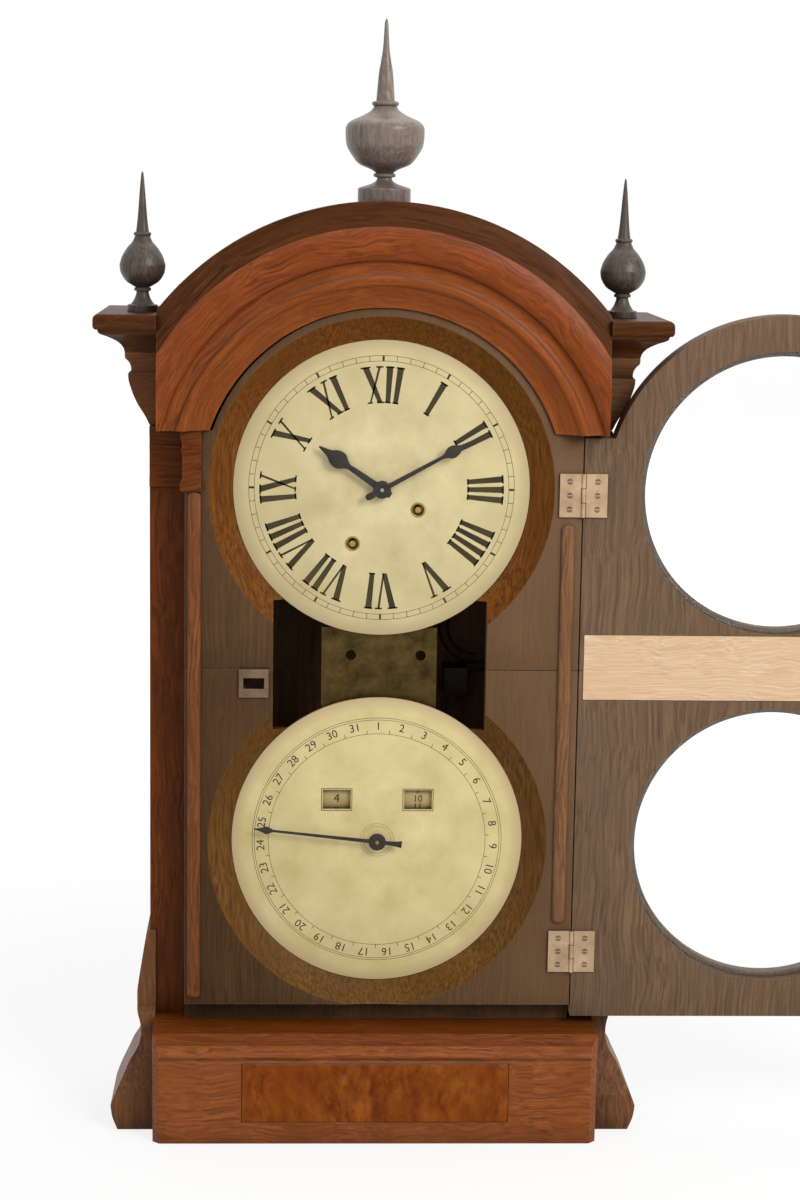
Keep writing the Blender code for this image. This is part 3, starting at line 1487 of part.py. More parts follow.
def make_door():
    """The door, modelled shut and then swung half a turn about its pins."""
    half = DOOR_HALF
    upper = facing(
        "door_upper_frame",
        arched(half, SEAM + GAP / 2, SHOULDER, DOOR_ARCH, TIME_CENTRE),
        DOOR_FRONT,
        DOOR_BACK,
    )
    high = SEAM - GAP / 2
    lower = facing(
        "door_lower_frame",
        [(-half, DOOR_FOOT), (half, DOOR_FOOT), (half, high), (-half, high)],
        DOOR_FRONT,
        DOOR_BACK,
    )
    cleat_half = half - CLEAT_INSET
    cleat_room = box(
        "cleat_room",
        (-cleat_half - GAP, DOOR_BACK - CLEAT_THICK - GAP, SEAM - CLEAT_BELOW - GAP),
        (cleat_half + GAP, DOOR_BACK + OVERRUN, SEAM + CLEAT_ABOVE + GAP),
    )
    cleat = box(
        "door_cleat",
        (-cleat_half, DOOR_BACK - CLEAT_THICK, SEAM - CLEAT_BELOW),
        (cleat_half, DOOR_BACK, SEAM + CLEAT_ABOVE),
    )
    spindle_way = rod(
        "spindle_way",
        LATCH_SPINDLE + RUNNING_FREE,
        (LATCH_X, DOOR_FRONT - OVERRUN, LATCH_Z),
        (LATCH_X, DOOR_BACK + OVERRUN, LATCH_Z),
        "Y",
        SMALL_STEPS,
    )
    cut(upper, window_cutter("upper", TIME_CENTRE), cleat_room)
    cut(lower, window_cutter("lower", CALENDAR_CENTRE), cleat_room, spindle_way)
    cut(cleat, spindle_way)
    finish(upper, "door_wood")
    finish(lower, "door_wood")
    finish(cleat, "pale_wood")
    pane_radius = WINDOW_RADIUS + PANE_LAP - GAP
    pane_back = DOOR_BACK - PANE_SETBACK
    pieces = [upper, lower, cleat]
    for name, centre in (("upper_pane", TIME_CENTRE), ("lower_pane", CALENDAR_CENTRE)):
        pane = cone(name, pane_radius, pane_radius, pane_back - PANE_THICK, pane_back, (0, centre))
        pieces.append(finish(pane, "glass"))
    return pieces


def leaf(name, middle_z, on_door):
    """A hinge leaf with its knuckles, as it lies when the door is shut."""
    low = middle_z - HINGE_HEIGHT / 2
    knuckle = HINGE_HEIGHT / KNUCKLE_COUNT
    clear = BARREL_RADIUS + GAP
    lean = (DOOR_BACK_CLEARANCE / 2 - GAP - LEAF_THICK, DOOR_BACK_CLEARANCE / 2 - GAP)
    front, back = (-lean[1], -lean[0]) if on_door else lean
    inner = PIN_X - clear
    plate = box(name, (PIN_X - LEAF_WIDTH, PIN_Y + front, low), (inner, PIN_Y + back, low + HINGE_HEIGHT))
    for number in range(KNUCKLE_COUNT):
        if (number == 1) != on_door:
            continue
        foot = low + number * knuckle + (GAP if number else 0)
        top = low + (number + 1) * knuckle - (GAP if number < KNUCKLE_COUNT - 1 else 0)
        tab_low = (inner - LEAF_THICK, PIN_Y + front, foot)
        tab = box(f"{name}_tab_{number}", tab_low, (PIN_X, PIN_Y + back, top))
        ends = ((PIN_X, PIN_Y, foot), (PIN_X, PIN_Y, top))
        barrel = rod(f"{name}_barrel_{number}", BARREL_RADIUS, *ends, "Z", SMALL_STEPS)
        join(plate, tab, barrel)
    pin_radius = PIN_RADIUS + RUNNING_FREE if on_door else PIN_RADIUS
    pin_low = low - OVERRUN if on_door else low + GAP
    pin_high = low + HINGE_HEIGHT + OVERRUN if on_door else low + HINGE_HEIGHT - GAP
    pin = rod(f"{name}_pin", pin_radius, (PIN_X, PIN_Y, pin_low), (PIN_X, PIN_Y, pin_high), "Z", SMALL_STEPS)
    shaped = cut(plate, pin) if on_door else join(plate, pin)
    return finish(shaped, "brass")


def make_latch():
    """The turning latch: knob, spindle and tongue in one, as it lies when the door is shut."""
    spot = (LATCH_X, DOOR_FRONT - GAP, LATCH_Z)
    reach = DOOR_THICK + GAP + DOOR_BACK_CLEARANCE + TONGUE_REACH
    knob = scaled(KNOB_SHARES, LATCH_KNOB_RADIUS, LATCH_KNOB_LENGTH)
    profile = [*knob, (LATCH_SPINDLE, 0), (LATCH_SPINDLE, -reach), (0, -reach)]
    latch = turned("door_latch", profile, spot, "Y", SMALL_STEPS)
    tongue_back = FRONT + TONGUE_REACH
    tongue = box(
        "latch_tongue",
        (LATCH_X - TONGUE_HALF, tongue_back - TONGUE_THICK, LATCH_Z - TONGUE_WIDTH / 2),
        (LATCH_X + TONGUE_HALF, tongue_back - GAP, LATCH_Z + TONGUE_WIDTH / 2),
    )
    return finish(join(latch, tongue), "brass")


def make_keeper():
    """The keeper plate on the lower board, slotted for the latch's tongue."""
    plate = box(
        "latch_keeper",
        (LATCH_X - KEEPER_HALF, FRONT - GAP - KEEPER_THICK, LATCH_Z - KEEPER_HALF + GAP),
        (LATCH_X + KEEPER_HALF, FRONT - GAP, LATCH_Z + KEEPER_HALF - GAP),
    )
    slot_half = TONGUE_HALF + KEEPER_SLOT_FREE
    slot_height = max(TONGUE_WIDTH / 2, LATCH_SPINDLE) + KEEPER_SLOT_FREE
    slot = box(
        "keeper_slot",
        (LATCH_X - slot_half, FRONT - KEEPER_THICK - OVERRUN, LATCH_Z - slot_height),
        (LATCH_X + slot_half, FRONT + OVERRUN, LATCH_Z + slot_height),
    )
    finish(cut(plate, slot), "brass")


def make_hung_door():
    """The door with its hinge leaves and latch, swung open to the right."""
    pieces = make_door()
    for name, middle_z in (("upper", UPPER_HINGE), ("lower", LOWER_HINGE)):
        leaf(f"{name}_case_leaf", middle_z, False)
        pieces.append(leaf(f"{name}_door_leaf", middle_z, True))
    latch_axis = pivot("latch_axis", (LATCH_X, DOOR_FRONT, LATCH_Z))
    carry(latch_axis, make_latch())
    axis = pivot("door_axis", (PIN_X, PIN_Y, 0))
    carry(axis, *pieces, latch_axis)
    axis.rotation_euler = (0, 0, math.pi)


def main():
    """Builds the clock."""
    make_base()
    make_case_walls()
    make_dial_boards()
    make_beads()
    make_imposts()
    make_arch()
    make_corners()
    make_finials()
    make_dials()
    make_hands()
    make_movement_plates()
    make_train()
    make_pendulum()
    make_strike()
    make_calendar_plates()
    make_calendar_work()
    make_keeper()
    make_hung_door()


main()
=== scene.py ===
"""The look of a calendar clock with its door open: fine surfaces, finishes, light and camera around the frame.

Metres, +Z up. The clock faces -Y, and every place comes from the frame's own boxes and joints.
"""

import json
import logging
import math
from dataclasses import dataclass
from enum import Enum
from typing import Callable, Sequence

import bmesh
import bpy
from mathutils import Matrix, Vector

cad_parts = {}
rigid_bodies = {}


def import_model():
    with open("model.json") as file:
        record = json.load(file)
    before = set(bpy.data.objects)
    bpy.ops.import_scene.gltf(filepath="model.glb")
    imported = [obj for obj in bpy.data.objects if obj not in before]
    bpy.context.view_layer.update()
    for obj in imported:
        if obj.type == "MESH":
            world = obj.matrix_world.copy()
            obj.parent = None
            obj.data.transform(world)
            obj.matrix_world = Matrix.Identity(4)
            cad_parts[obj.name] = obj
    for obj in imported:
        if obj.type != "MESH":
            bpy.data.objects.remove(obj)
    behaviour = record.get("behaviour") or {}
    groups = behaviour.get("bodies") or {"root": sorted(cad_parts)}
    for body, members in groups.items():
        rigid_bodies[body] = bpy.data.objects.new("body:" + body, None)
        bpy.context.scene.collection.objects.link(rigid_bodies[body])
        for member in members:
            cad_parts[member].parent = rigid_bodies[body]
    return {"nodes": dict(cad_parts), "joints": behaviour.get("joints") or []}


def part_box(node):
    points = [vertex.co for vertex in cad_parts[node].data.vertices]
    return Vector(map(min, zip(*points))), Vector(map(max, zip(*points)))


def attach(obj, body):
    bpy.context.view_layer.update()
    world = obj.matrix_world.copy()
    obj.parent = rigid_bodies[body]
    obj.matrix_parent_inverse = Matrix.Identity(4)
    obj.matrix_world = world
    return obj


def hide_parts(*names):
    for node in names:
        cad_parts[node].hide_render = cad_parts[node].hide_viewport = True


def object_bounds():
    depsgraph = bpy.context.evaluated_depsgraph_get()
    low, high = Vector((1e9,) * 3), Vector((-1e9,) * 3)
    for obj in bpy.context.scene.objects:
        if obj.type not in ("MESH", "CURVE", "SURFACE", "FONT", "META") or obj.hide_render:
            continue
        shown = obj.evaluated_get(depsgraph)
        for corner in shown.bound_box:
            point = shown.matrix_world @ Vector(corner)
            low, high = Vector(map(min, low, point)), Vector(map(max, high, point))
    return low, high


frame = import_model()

CAD_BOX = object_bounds()
LOG = logging.getLogger("calendar_clock")

Point = tuple[float, float]
Spot = tuple[float, float, float]
Colour = tuple[float, float, float]

HAIR = 0.0003  # the space that the frame keeps between touching pieces
PAST = 0.004  # how far a cutting shape passes the wood it cuts
EDGE = 0.0006  # an eased edge
ROUND_STEPS = 160
TURNED_STEPS = 72
SMALL_STEPS = 28


class Turn(Enum):
    """How a turned shape's own axis lies in the clock."""

    FRONT = Matrix.Rotation(math.pi / 2, 4, "X")
    SIDE = Matrix.Rotation(math.pi / 2, 4, "Y")
    UP = Matrix.Identity(4)


class Grain(Enum):
    """Which way the wood's lines run."""

    UPRIGHT = "upright"
    ACROSS = "across"
    DEEP = "deep"
    AROUND = "around"
    BURL = "burl"


def srgb(red: int, green: int, blue: int) -> Colour:
    """Linear values of a colour given as screen values.

    Args:
        red: From 0 to 255.
        green: From 0 to 255.
        blue: From 0 to 255.

    Returns:
        The three linear values.
    """
    values = []
    for step in (red, green, blue):
        share = step / 255
        values.append(share / 12.92 if share <= 0.04045 else ((share + 0.055) / 1.055) ** 2.4)
    return values[0], values[1], values[2]


# Mesh work


def smooth_line(points: Sequence[Point], steps: int = 6) -> list[Point]:
    """A smooth line through points, which never leaves their range.

    Args:
        points: The points to pass through, in order.
        steps: How many steps each stretch gets.

    Returns:
        The points of the smooth line, both ends included.
    """
    ends = [points[0], *points, points[-1]]
    lows = [min(point[axis] for point in points) for axis in (0, 1)]
    highs = [max(point[axis] for point in points) for axis in (0, 1)]
    line: list[Point] = []
    for before, start, end, after in zip(ends, ends[1:], ends[2:], ends[3:]):
        for index in range(steps):
            t = index / steps
            spot = []
            for axis in (0, 1):
                a, b, c, d = before[axis], start[axis], end[axis], after[axis]
                value = 0.5 * (2 * b + (c - a) * t + (2 * a - 5 * b + 4 * c - d) * t**2 + (3 * b - a - 3 * c + d) * t**3)
                spot.append(min(max(value, lows[axis]), highs[axis]))
            line.append((spot[0], spot[1]))
    line.append(points[-1])
    return line


def smooth_runs(runs: Sequence[Sequence[Point]], steps: int = 6) -> list[Point]:
    """Smooth lines that meet in corners.

    Args:
        runs: The points of each line; each starts where the last one ends.
        steps: How many steps each stretch gets.

    Returns:
        One list of points.
    """
    line: list[Point] = []
    for run in runs:
        made = smooth_line(run, steps) if len(run) > 2 else list(run)
        line += made[1:] if line and line[-1] == made[0] else made
    return line


def scaled(shares: Sequence[Point], across: float, up: float) -> list[Point]:
    """Points from shares of two sizes."""
    return [(share * across, height * up) for share, height in shares]


def arc(radius: float, start: float, end: float, steps: int, middle: Point = (0, 0)) -> list[Point]:
    """Points on an arc, both ends included.

    Args:
        radius: The arc's radius.
        start: The first angle, in radians.
        end: The last angle, in radians.
        steps: How many stretches the arc gets.
        middle: The arc's centre.

    Returns:
        The points.
    """
    points = []
    for index in range(steps + 1):
        angle = start + (end - start) * index / steps
        points.append((middle[0] + radius * math.cos(angle), middle[1] + radius * math.sin(angle)))
    return points


def arched(left: float, right: float, foot: float, shoulder: float, radius: float, centre: float) -> list[Point]:
    """The outline of a board with straight sides and a round top.

    Args:
        left: The left side.
        right: The right side.
        foot: The lower edge.
        shoulder: Where the sides end.
        radius: The round top's radius.
        centre: The height of the round top's centre.

    Returns:
        The outline, anticlockwise from the lower left.
    """
    middle = (left + right) / 2
    angle = math.asin((shoulder - centre) / radius)
    top = arc(radius, angle, math.pi - angle, ROUND_STEPS // 2, (middle, centre))
    return [(left, foot), (right, foot), (right, shoulder), *top, (left, shoulder)]


def mirrored(points: Sequence[Point]) -> list[Point]:
    """The same outline on the other side of the middle, still in order."""
    return [(-across, up) for across, up in reversed(points)]


def mesh_of(name: str, work: bmesh.types.BMesh) -> bpy.types.Object:
    """Makes an object of finished mesh work.

    Args:
        name: The object's name.
        work: The mesh work, which is freed.

    Returns:
        The new object, linked to the scene.
    """
    bmesh.ops.recalc_face_normals(work, faces=work.faces)
    mesh = bpy.data.meshes.new(name)
    work.to_mesh(mesh)
    work.free()
    made = bpy.data.objects.new(name, mesh)
    bpy.context.scene.collection.objects.link(made)
    return made


def ease(work: bmesh.types.BMesh, width: float, least_angle: float = math.radians(40)) -> None:
    """Rounds the sharp edges of mesh work.

    Args:
        work: The mesh work.
        width: How wide each eased edge is.
        least_angle: Edges flatter than this stay.
    """
    if width <= 0:
        return
    sharp = [edge for edge in work.edges if edge.is_manifold and edge.calc_face_angle(0) > least_angle]
    bmesh.ops.bevel(work, geom=sharp, offset=width, segments=2, profile=0.5, affect="EDGES", clamp_overlap=True)


def extruded(name: str, points: Sequence[Point], low: float, high: float, axis: str, edge: float) -> bpy.types.Object:
    """An outline with a thickness and eased edges.

    Args:
        name: The object's name.
        points: The outline: across and up for axis Y, depth and up for X, across and depth for Z.
        low: Where the thickness starts on the axis.
        high: Where it ends.
        axis: The axis of the thickness, X, Y or Z.
        edge: The width of the eased edges.

    Returns:
        The new object.
    """
    def spot(point: Point, along: float) -> Spot:
        """One corner in the clock's own axes."""
        first, second = point
        return {"X": (along, first, second), "Y": (first, along, second), "Z": (first, second, along)}[axis]

    work = bmesh.new()
    near = [work.verts.new(spot(point, low)) for point in points]
    far = [work.verts.new(spot(point, high)) for point in points]
    work.faces.new(near)
    work.faces.new(list(reversed(far)))
    for index in range(len(points)):
        after = (index + 1) % len(points)
        work.faces.new((near[after], near[index], far[index], far[after]))
    bmesh.ops.recalc_face_normals(work, faces=work.faces)
    ease(work, edge)
    return mesh_of(name, work)


def block(name: str, low: Sequence[float], high: Sequence[float], edge: float = EDGE) -> bpy.types.Object:
    """A squared piece of stuff between two corners, with eased edges.

    Args:
        name: The object's name.
        low: The lowest corner.
        high: The highest corner.
        edge: The width of the eased edges.

    Returns:
        The new object.
    """
    points = [(low[0], low[2]), (high[0], low[2]), (high[0], high[2]), (low[0], high[2])]
    return extruded(name, points, low[1], high[1], "Y", edge)


def lathe_into(
    work: bmesh.types.BMesh, profile: Sequence[Point], spot: Sequence[float], turn: Turn, steps: int
) -> None:
    """Adds a turned shape to mesh work.

    Args:
        work: The mesh work.
        profile: Radius and height along the shape; a radius of zero closes an end.
        spot: The place of the profile's zero height on the axis.
        turn: How the axis lies.
        steps: Steps for a full turn.
    """
    place = Matrix.Translation(spot) @ turn.value
    rings = []
    for radius, height in profile:
        if radius < 1e-7:
            rings.append([work.verts.new(place @ Vector((0, 0, height)))])
            continue
        ring = []
        for index in range(steps):
            angle = math.tau * index / steps
            ring.append(work.verts.new(place @ Vector((radius * math.cos(angle), radius * math.sin(angle), height))))
        rings.append(ring)
    open_ends = len(rings[0]) > 1
    pairs = list(zip(rings, rings[1:]))
    if open_ends:
        pairs.append((rings[-1], rings[0]))
    for first, second in pairs:
        for index in range(steps):
            after = (index + 1) % steps
            corners = [first[index % len(first)], first[after % len(first)]]
            corners += [second[after % len(second)], second[index % len(second)]]
            different = list(dict.fromkeys(corners))
            if len(different) > 2:
                work.faces.new(different)


def turned(
    name: str, profile: Sequence[Point], spot: Sequence[float], turn: Turn, steps: int = TURNED_STEPS
) -> bpy.types.Object:
    """A turned piece.

    Args:
        name: The object's name.
        profile: Radius and height; a profile with no zero radius closes on itself as a ring.
        spot: The place of the profile's zero height on the axis.
        turn: How the axis lies.
        steps: Steps for a full turn.

    Returns:
        The new object.
    """
    work = bmesh.new()
    lathe_into(work, profile, spot, turn, steps)
    return mesh_of(name, work)


def shaped(piece: bpy.types.Object, tool: bpy.types.Object, operation: str = "DIFFERENCE") -> bpy.types.Object:
    """Cuts, keeps or joins a piece with another shape, which is used up.

    Args:
        piece: The piece to work on.
        tool: The other shape.
        operation: DIFFERENCE, INTERSECT or UNION.

    Returns:
        The piece.
    """
    modifier = piece.modifiers.new("shape", "BOOLEAN")
    modifier.operation = operation
    modifier.solver = "EXACT"
    modifier.object = tool
    bpy.context.view_layer.update()
    graph = bpy.context.evaluated_depsgraph_get()
    mesh = bpy.data.meshes.new_from_object(piece.evaluated_get(graph))
    piece.modifiers.clear()
    piece.data = mesh
    bpy.data.objects.remove(tool, do_unlink=True)
    return piece


# Node work


class Wiring:
    """A short way to build a node tree."""

    def __init__(self, tree: bpy.types.NodeTree) -> None:
        """Takes the tree to build in."""
        self.tree = tree

    def node(self, kind: str, **settings: object) -> bpy.types.Node:
        """Adds a node.

        Args:
            kind: The node's type name without its ShaderNode start.
            settings: Properties to set on it.

        Returns:
            The node.
        """
        made = self.tree.nodes.new(kind if kind.startswith("Node") else f"ShaderNode{kind}")
        for name, value in settings.items():
            setattr(made, name, value)
        return made

    def feed(self, socket: bpy.types.NodeSocket, source: object) -> None:
        """Links a source into a socket, or sets it where the source is a plain value."""
        if isinstance(source, bpy.types.NodeSocket):
            self.tree.links.new(source, socket)
        elif isinstance(source, tuple) and socket.type == "RGBA" and len(source) == 3:
            socket.default_value = (*source, 1.0)
        else:
            socket.default_value = source

    def math(self, operation: str, first: object, second: object = 0.0, clamp: bool = False) -> bpy.types.NodeSocket:
        """A sum of two values."""
        made = self.node("Math", operation=operation, use_clamp=clamp)
        self.feed(made.inputs[0], first)
        self.feed(made.inputs[1], second)
        return made.outputs[0]

    def vector(self, operation: str, first: object, second: object = (0.0, 0.0, 0.0)) -> bpy.types.Node:
        """A sum of two vectors."""
        made = self.node("VectorMath", operation=operation)
        self.feed(made.inputs[0], first)
        self.feed(made.inputs[1], second)
        return made

    def noise(self, vector: object, scale: float, detail: float = 3.0, rough: float = 0.5) -> bpy.types.NodeSocket:
        """A noise value between 0 and 1 over a vector."""
        made = self.node("TexNoise")
        self.feed(made.inputs["Vector"], vector)
        made.inputs["Scale"].default_value = scale
        made.inputs["Detail"].default_value = detail
        made.inputs["Roughness"].default_value = rough
        return made.outputs["Fac"]

    def spread(self, value: object, low: float, high: float, to_low: float = 0.0, to_high: float = 1.0) -> object:
        """Stretches a range of values to another one, clamped at both ends."""
        made = self.node("MapRange")
        self.feed(made.inputs["Value"], value)
        for name, number in zip(("From Min", "From Max", "To Min", "To Max"), (low, high, to_low, to_high)):
            made.inputs[name].default_value = number
        return made.outputs["Result"]

    def mix(self, share: object, first: object, second: object, blend: str = "MIX") -> bpy.types.NodeSocket:
        """Mixes two colours by a share."""
        made = self.node("Mix", data_type="RGBA", blend_type=blend)
        self.feed(made.inputs[0], share)
        self.feed(made.inputs[6], first)
        self.feed(made.inputs[7], second)
        return made.outputs[2]


class Effects:
    """The surface effects that the finishes share, each a node group that is built once."""

    made: dict[str, bpy.types.NodeTree] = {}

    @classmethod
    def start(cls, name: str, inputs: Sequence[tuple], outputs: Sequence[tuple]) -> tuple:
        """Opens a new group.

        Args:
            name: The group's name.
            inputs: Name, socket kind and first value of each input.
            outputs: Name and socket kind of each output.

        Returns:
            The wiring, the node that gives the inputs and the node that takes the outputs.
        """
        group = bpy.data.node_groups.new(name, "ShaderNodeTree")
        for label, kind, value in inputs:
            socket = group.interface.new_socket(label, in_out="INPUT", socket_type=f"NodeSocket{kind}")
            if value is not None:
                socket.default_value = value
        for label, kind in outputs:
            group.interface.new_socket(label, in_out="OUTPUT", socket_type=f"NodeSocket{kind}")
        wiring = Wiring(group)
        cls.made[name] = group
        return wiring, wiring.node("NodeGroupInput"), wiring.node("NodeGroupOutput")

    @classmethod
    def place(cls, wiring: Wiring, name: str, **values: object) -> bpy.types.Node:
        """Puts a group into a material.

        Args:
            wiring: The material's wiring.
            name: The group's name, which is also the name of the method that builds it.
            values: What its inputs get, with _ for a space.

        Returns:
            The group node.
        """
        if name not in cls.made:
            getattr(cls, name)()
        made = wiring.node("Group")
        made.node_tree = cls.made[name]
        for label, value in values.items():
            wiring.feed(made.inputs[label.replace("_", " ")], value)
        return made

    @classmethod
    def wood_grain(cls) -> None:
        """Lines, pores and broad clouds of wood over a vector whose Z runs along the grain."""
        inputs = [
            ("Vector", "Vector", None),
            ("Line Width", "Float", 0.004),
            ("Length", "Float", 0.06),
            ("Swirl", "Float", 0.3),
            ("Cloud Size", "Float", 0.05),
        ]
        wiring, given, out = cls.start(
            "wood_grain", inputs, [("Lines", "Float"), ("Clouds", "Float"), ("Pores", "Float"), ("Height", "Float")]
        )
        spot = given.outputs["Vector"]
        cloud_scale = wiring.math("DIVIDE", 1.0, given.outputs["Cloud Size"])
        broad = wiring.vector("SCALE", spot)
        wiring.feed(broad.inputs["Scale"], cloud_scale)
        clouds = wiring.noise(broad.outputs[0], 1.0, 4.0, 0.55)
        swirl_noise = wiring.node("TexNoise")
        wiring.feed(swirl_noise.inputs["Vector"], broad.outputs[0])
        swirl_noise.inputs["Scale"].default_value = 0.8
        centred = wiring.vector("SUBTRACT", swirl_noise.outputs["Color"], (0.5, 0.5, 0.5))
        pushed = wiring.vector("SCALE", centred.outputs[0])
        wiring.feed(pushed.inputs["Scale"], wiring.math("MULTIPLY", given.outputs["Swirl"], given.outputs["Length"]))
        bent = wiring.vector("ADD", spot, pushed.outputs[0])
        across = wiring.math("DIVIDE", 1.0, given.outputs["Line Width"])
        along = wiring.math("DIVIDE", 1.0, given.outputs["Length"])
        stretch = wiring.node("CombineXYZ")
        wiring.feed(stretch.inputs[0], across)
        wiring.feed(stretch.inputs[1], across)
        wiring.feed(stretch.inputs[2], along)
        drawn = wiring.vector("MULTIPLY", bent.outputs[0], stretch.outputs[0])
        lines = wiring.spread(wiring.noise(drawn.outputs[0], 1.0, 5.0, 0.62), 0.32, 0.68)
        fine = wiring.noise(drawn.outputs[0], 6.0, 2.0, 0.5)
        pores = wiring.spread(fine, 0.60, 0.72)
        height = wiring.math("SUBTRACT", lines, pores)
        for label, value in (("Lines", lines), ("Clouds", clouds), ("Pores", pores), ("Height", height)):
            wiring.feed(out.inputs[label], value)

    @classmethod
    def edge_wear(cls) -> None:
        """A mask of worn edges, found where the surface turns sharply and broken up by noise."""
        inputs = [("Vector", "Vector", None), ("Radius", "Float", 0.0012), ("Amount", "Float", 0.6)]
        wiring, given, out = cls.start("edge_wear", inputs, [("Mask", "Float")])
        bevel = wiring.node("Bevel", samples=3)
        wiring.feed(bevel.inputs["Radius"], given.outputs["Radius"])
        surface = wiring.node("NewGeometry")
        alike = wiring.vector("DOT_PRODUCT", bevel.outputs["Normal"], surface.outputs["Normal"])
        turning = wiring.spread(alike.outputs["Value"], 0.995, 0.86)
        patches = wiring.spread(wiring.noise(given.outputs["Vector"], 90.0, 3.0, 0.6), 0.38, 0.66)
        both = wiring.math("MULTIPLY", turning, patches)
        wiring.feed(out.inputs["Mask"], wiring.math("MULTIPLY", both, given.outputs["Amount"], True))

    @classmethod
    def painted_corner_shade(cls) -> None:
        """A mask of painted shade that darkens corners, recesses and joints, found by ambient occlusion and broken up
        by noise.
        """
        inputs = [("Vector", "Vector", None), ("Reach", "Float", 0.022), ("Amount", "Float", 0.6)]
        wiring, given, out = cls.start("painted_corner_shade", inputs, [("Mask", "Float")])
        nook = wiring.node("AmbientOcclusion", samples=4)
        wiring.feed(nook.inputs["Distance"], given.outputs["Reach"])
        closed = wiring.spread(nook.outputs["AO"], 0.95, 0.35)
        patches = wiring.spread(wiring.noise(given.outputs["Vector"], 45.0, 4.0, 0.6), 0.30, 0.62, 0.45, 1.0)
        both = wiring.math("MULTIPLY", closed, patches)
        wiring.feed(out.inputs["Mask"], wiring.math("MULTIPLY", both, given.outputs["Amount"], True))

    @classmethod
    def painted_side_light(cls) -> None:
        """A mask of painted light that makes a piece lighter from the lower left towards the upper right, as on the
        side the key lamp falls on, broken by the wood's figure.
        """
        inputs = [("Vector", "Vector", None), ("Amount", "Float", 0.5)]
        wiring, given, out = cls.start("painted_side_light", inputs, [("Mask", "Float")])
        slope = wiring.vector("DOT_PRODUCT", given.outputs["Vector"], (1.0, 0.0, 0.35))
        across = wiring.spread(slope.outputs["Value"], -0.06, 0.33)
        patches = wiring.spread(wiring.noise(given.outputs["Vector"], 14.0, 3.0, 0.55), 0.25, 0.75, 0.6, 1.0)
        both = wiring.math("MULTIPLY", across, patches)
        wiring.feed(out.inputs["Mask"], wiring.math("MULTIPLY", both, given.outputs["Amount"], True))

    @classmethod
    def settled_dust(cls) -> None:
        """A mask of dust that lies on faces that look up, in patches."""
        inputs = [("Vector", "Vector", None), ("Amount", "Float", 0.3)]
        wiring, given, out = cls.start("settled_dust", inputs, [("Mask", "Float")])
        surface = wiring.node("NewGeometry")
        split = wiring.node("SeparateXYZ")
        wiring.feed(split.inputs[0], surface.outputs["Normal"])
        upward = wiring.spread(split.outputs["Z"], 0.25, 0.95)
        patches = wiring.spread(wiring.noise(given.outputs["Vector"], 60.0, 4.0, 0.65), 0.30, 0.70, 0.35, 1.0)
        both = wiring.math("MULTIPLY", upward, patches)
        wiring.feed(out.inputs["Mask"], wiring.math("MULTIPLY", both, given.outputs["Amount"], True))

    @classmethod
    def rubbed(cls) -> None:
        """Roughness that changes in smears and fine scratches, and a height for them."""
        inputs = [
            ("Vector", "Vector", None),
            ("Base", "Float", 0.4),
            ("Range", "Float", 0.15),
            ("Grit", "Float", 400.0),
        ]
        wiring, given, out = cls.start("rubbed", inputs, [("Roughness", "Float"), ("Height", "Float")])
        smears = wiring.noise(given.outputs["Vector"], 35.0, 4.0, 0.6)
        centred = wiring.math("SUBTRACT", smears, 0.5)
        swing = wiring.math("MULTIPLY", centred, wiring.math("MULTIPLY", given.outputs["Range"], 2.0))
        wiring.feed(out.inputs["Roughness"], wiring.math("ADD", given.outputs["Base"], swing, True))
        grit = wiring.node("TexNoise")
        wiring.feed(grit.inputs["Vector"], given.outputs["Vector"])
        wiring.feed(grit.inputs["Scale"], given.outputs["Grit"])
        wiring.feed(out.inputs["Height"], grit.outputs["Fac"])


class Finish:
    """What every finish shares: a material with its shader and the object's own coordinates."""

    name: str

    def begin(self, label: str) -> tuple[bpy.types.Material, Wiring, bpy.types.Node, bpy.types.NodeSocket]:
        """Opens a new material.

        Args:
            label: The material's name.

        Returns:
            The material, its wiring, its shader and its coordinates.
        """
        material = bpy.data.materials.new(label)
        material.use_nodes = True
        wiring = Wiring(material.node_tree)
        shader = material.node_tree.nodes["Principled BSDF"]
        coordinates = wiring.node("TexCoord").outputs["Object"]
        return material, wiring, shader, coordinates

    def bump(self, wiring: Wiring, shader: bpy.types.Node, height: object, strength: float, distance: float) -> None:
        """Feeds a height to a shader's normal.

        Args:
            wiring: The material's wiring.
            shader: The shader.
            height: The height's socket.
            strength: The bump's strength.
            distance: The bump's depth in metres.
        """
        made = wiring.node("Bump")
        made.inputs["Strength"].default_value = strength
        made.inputs["Distance"].default_value = distance
        wiring.feed(made.inputs["Height"], height)
        wiring.feed(shader.inputs["Normal"], made.outputs["Normal"])


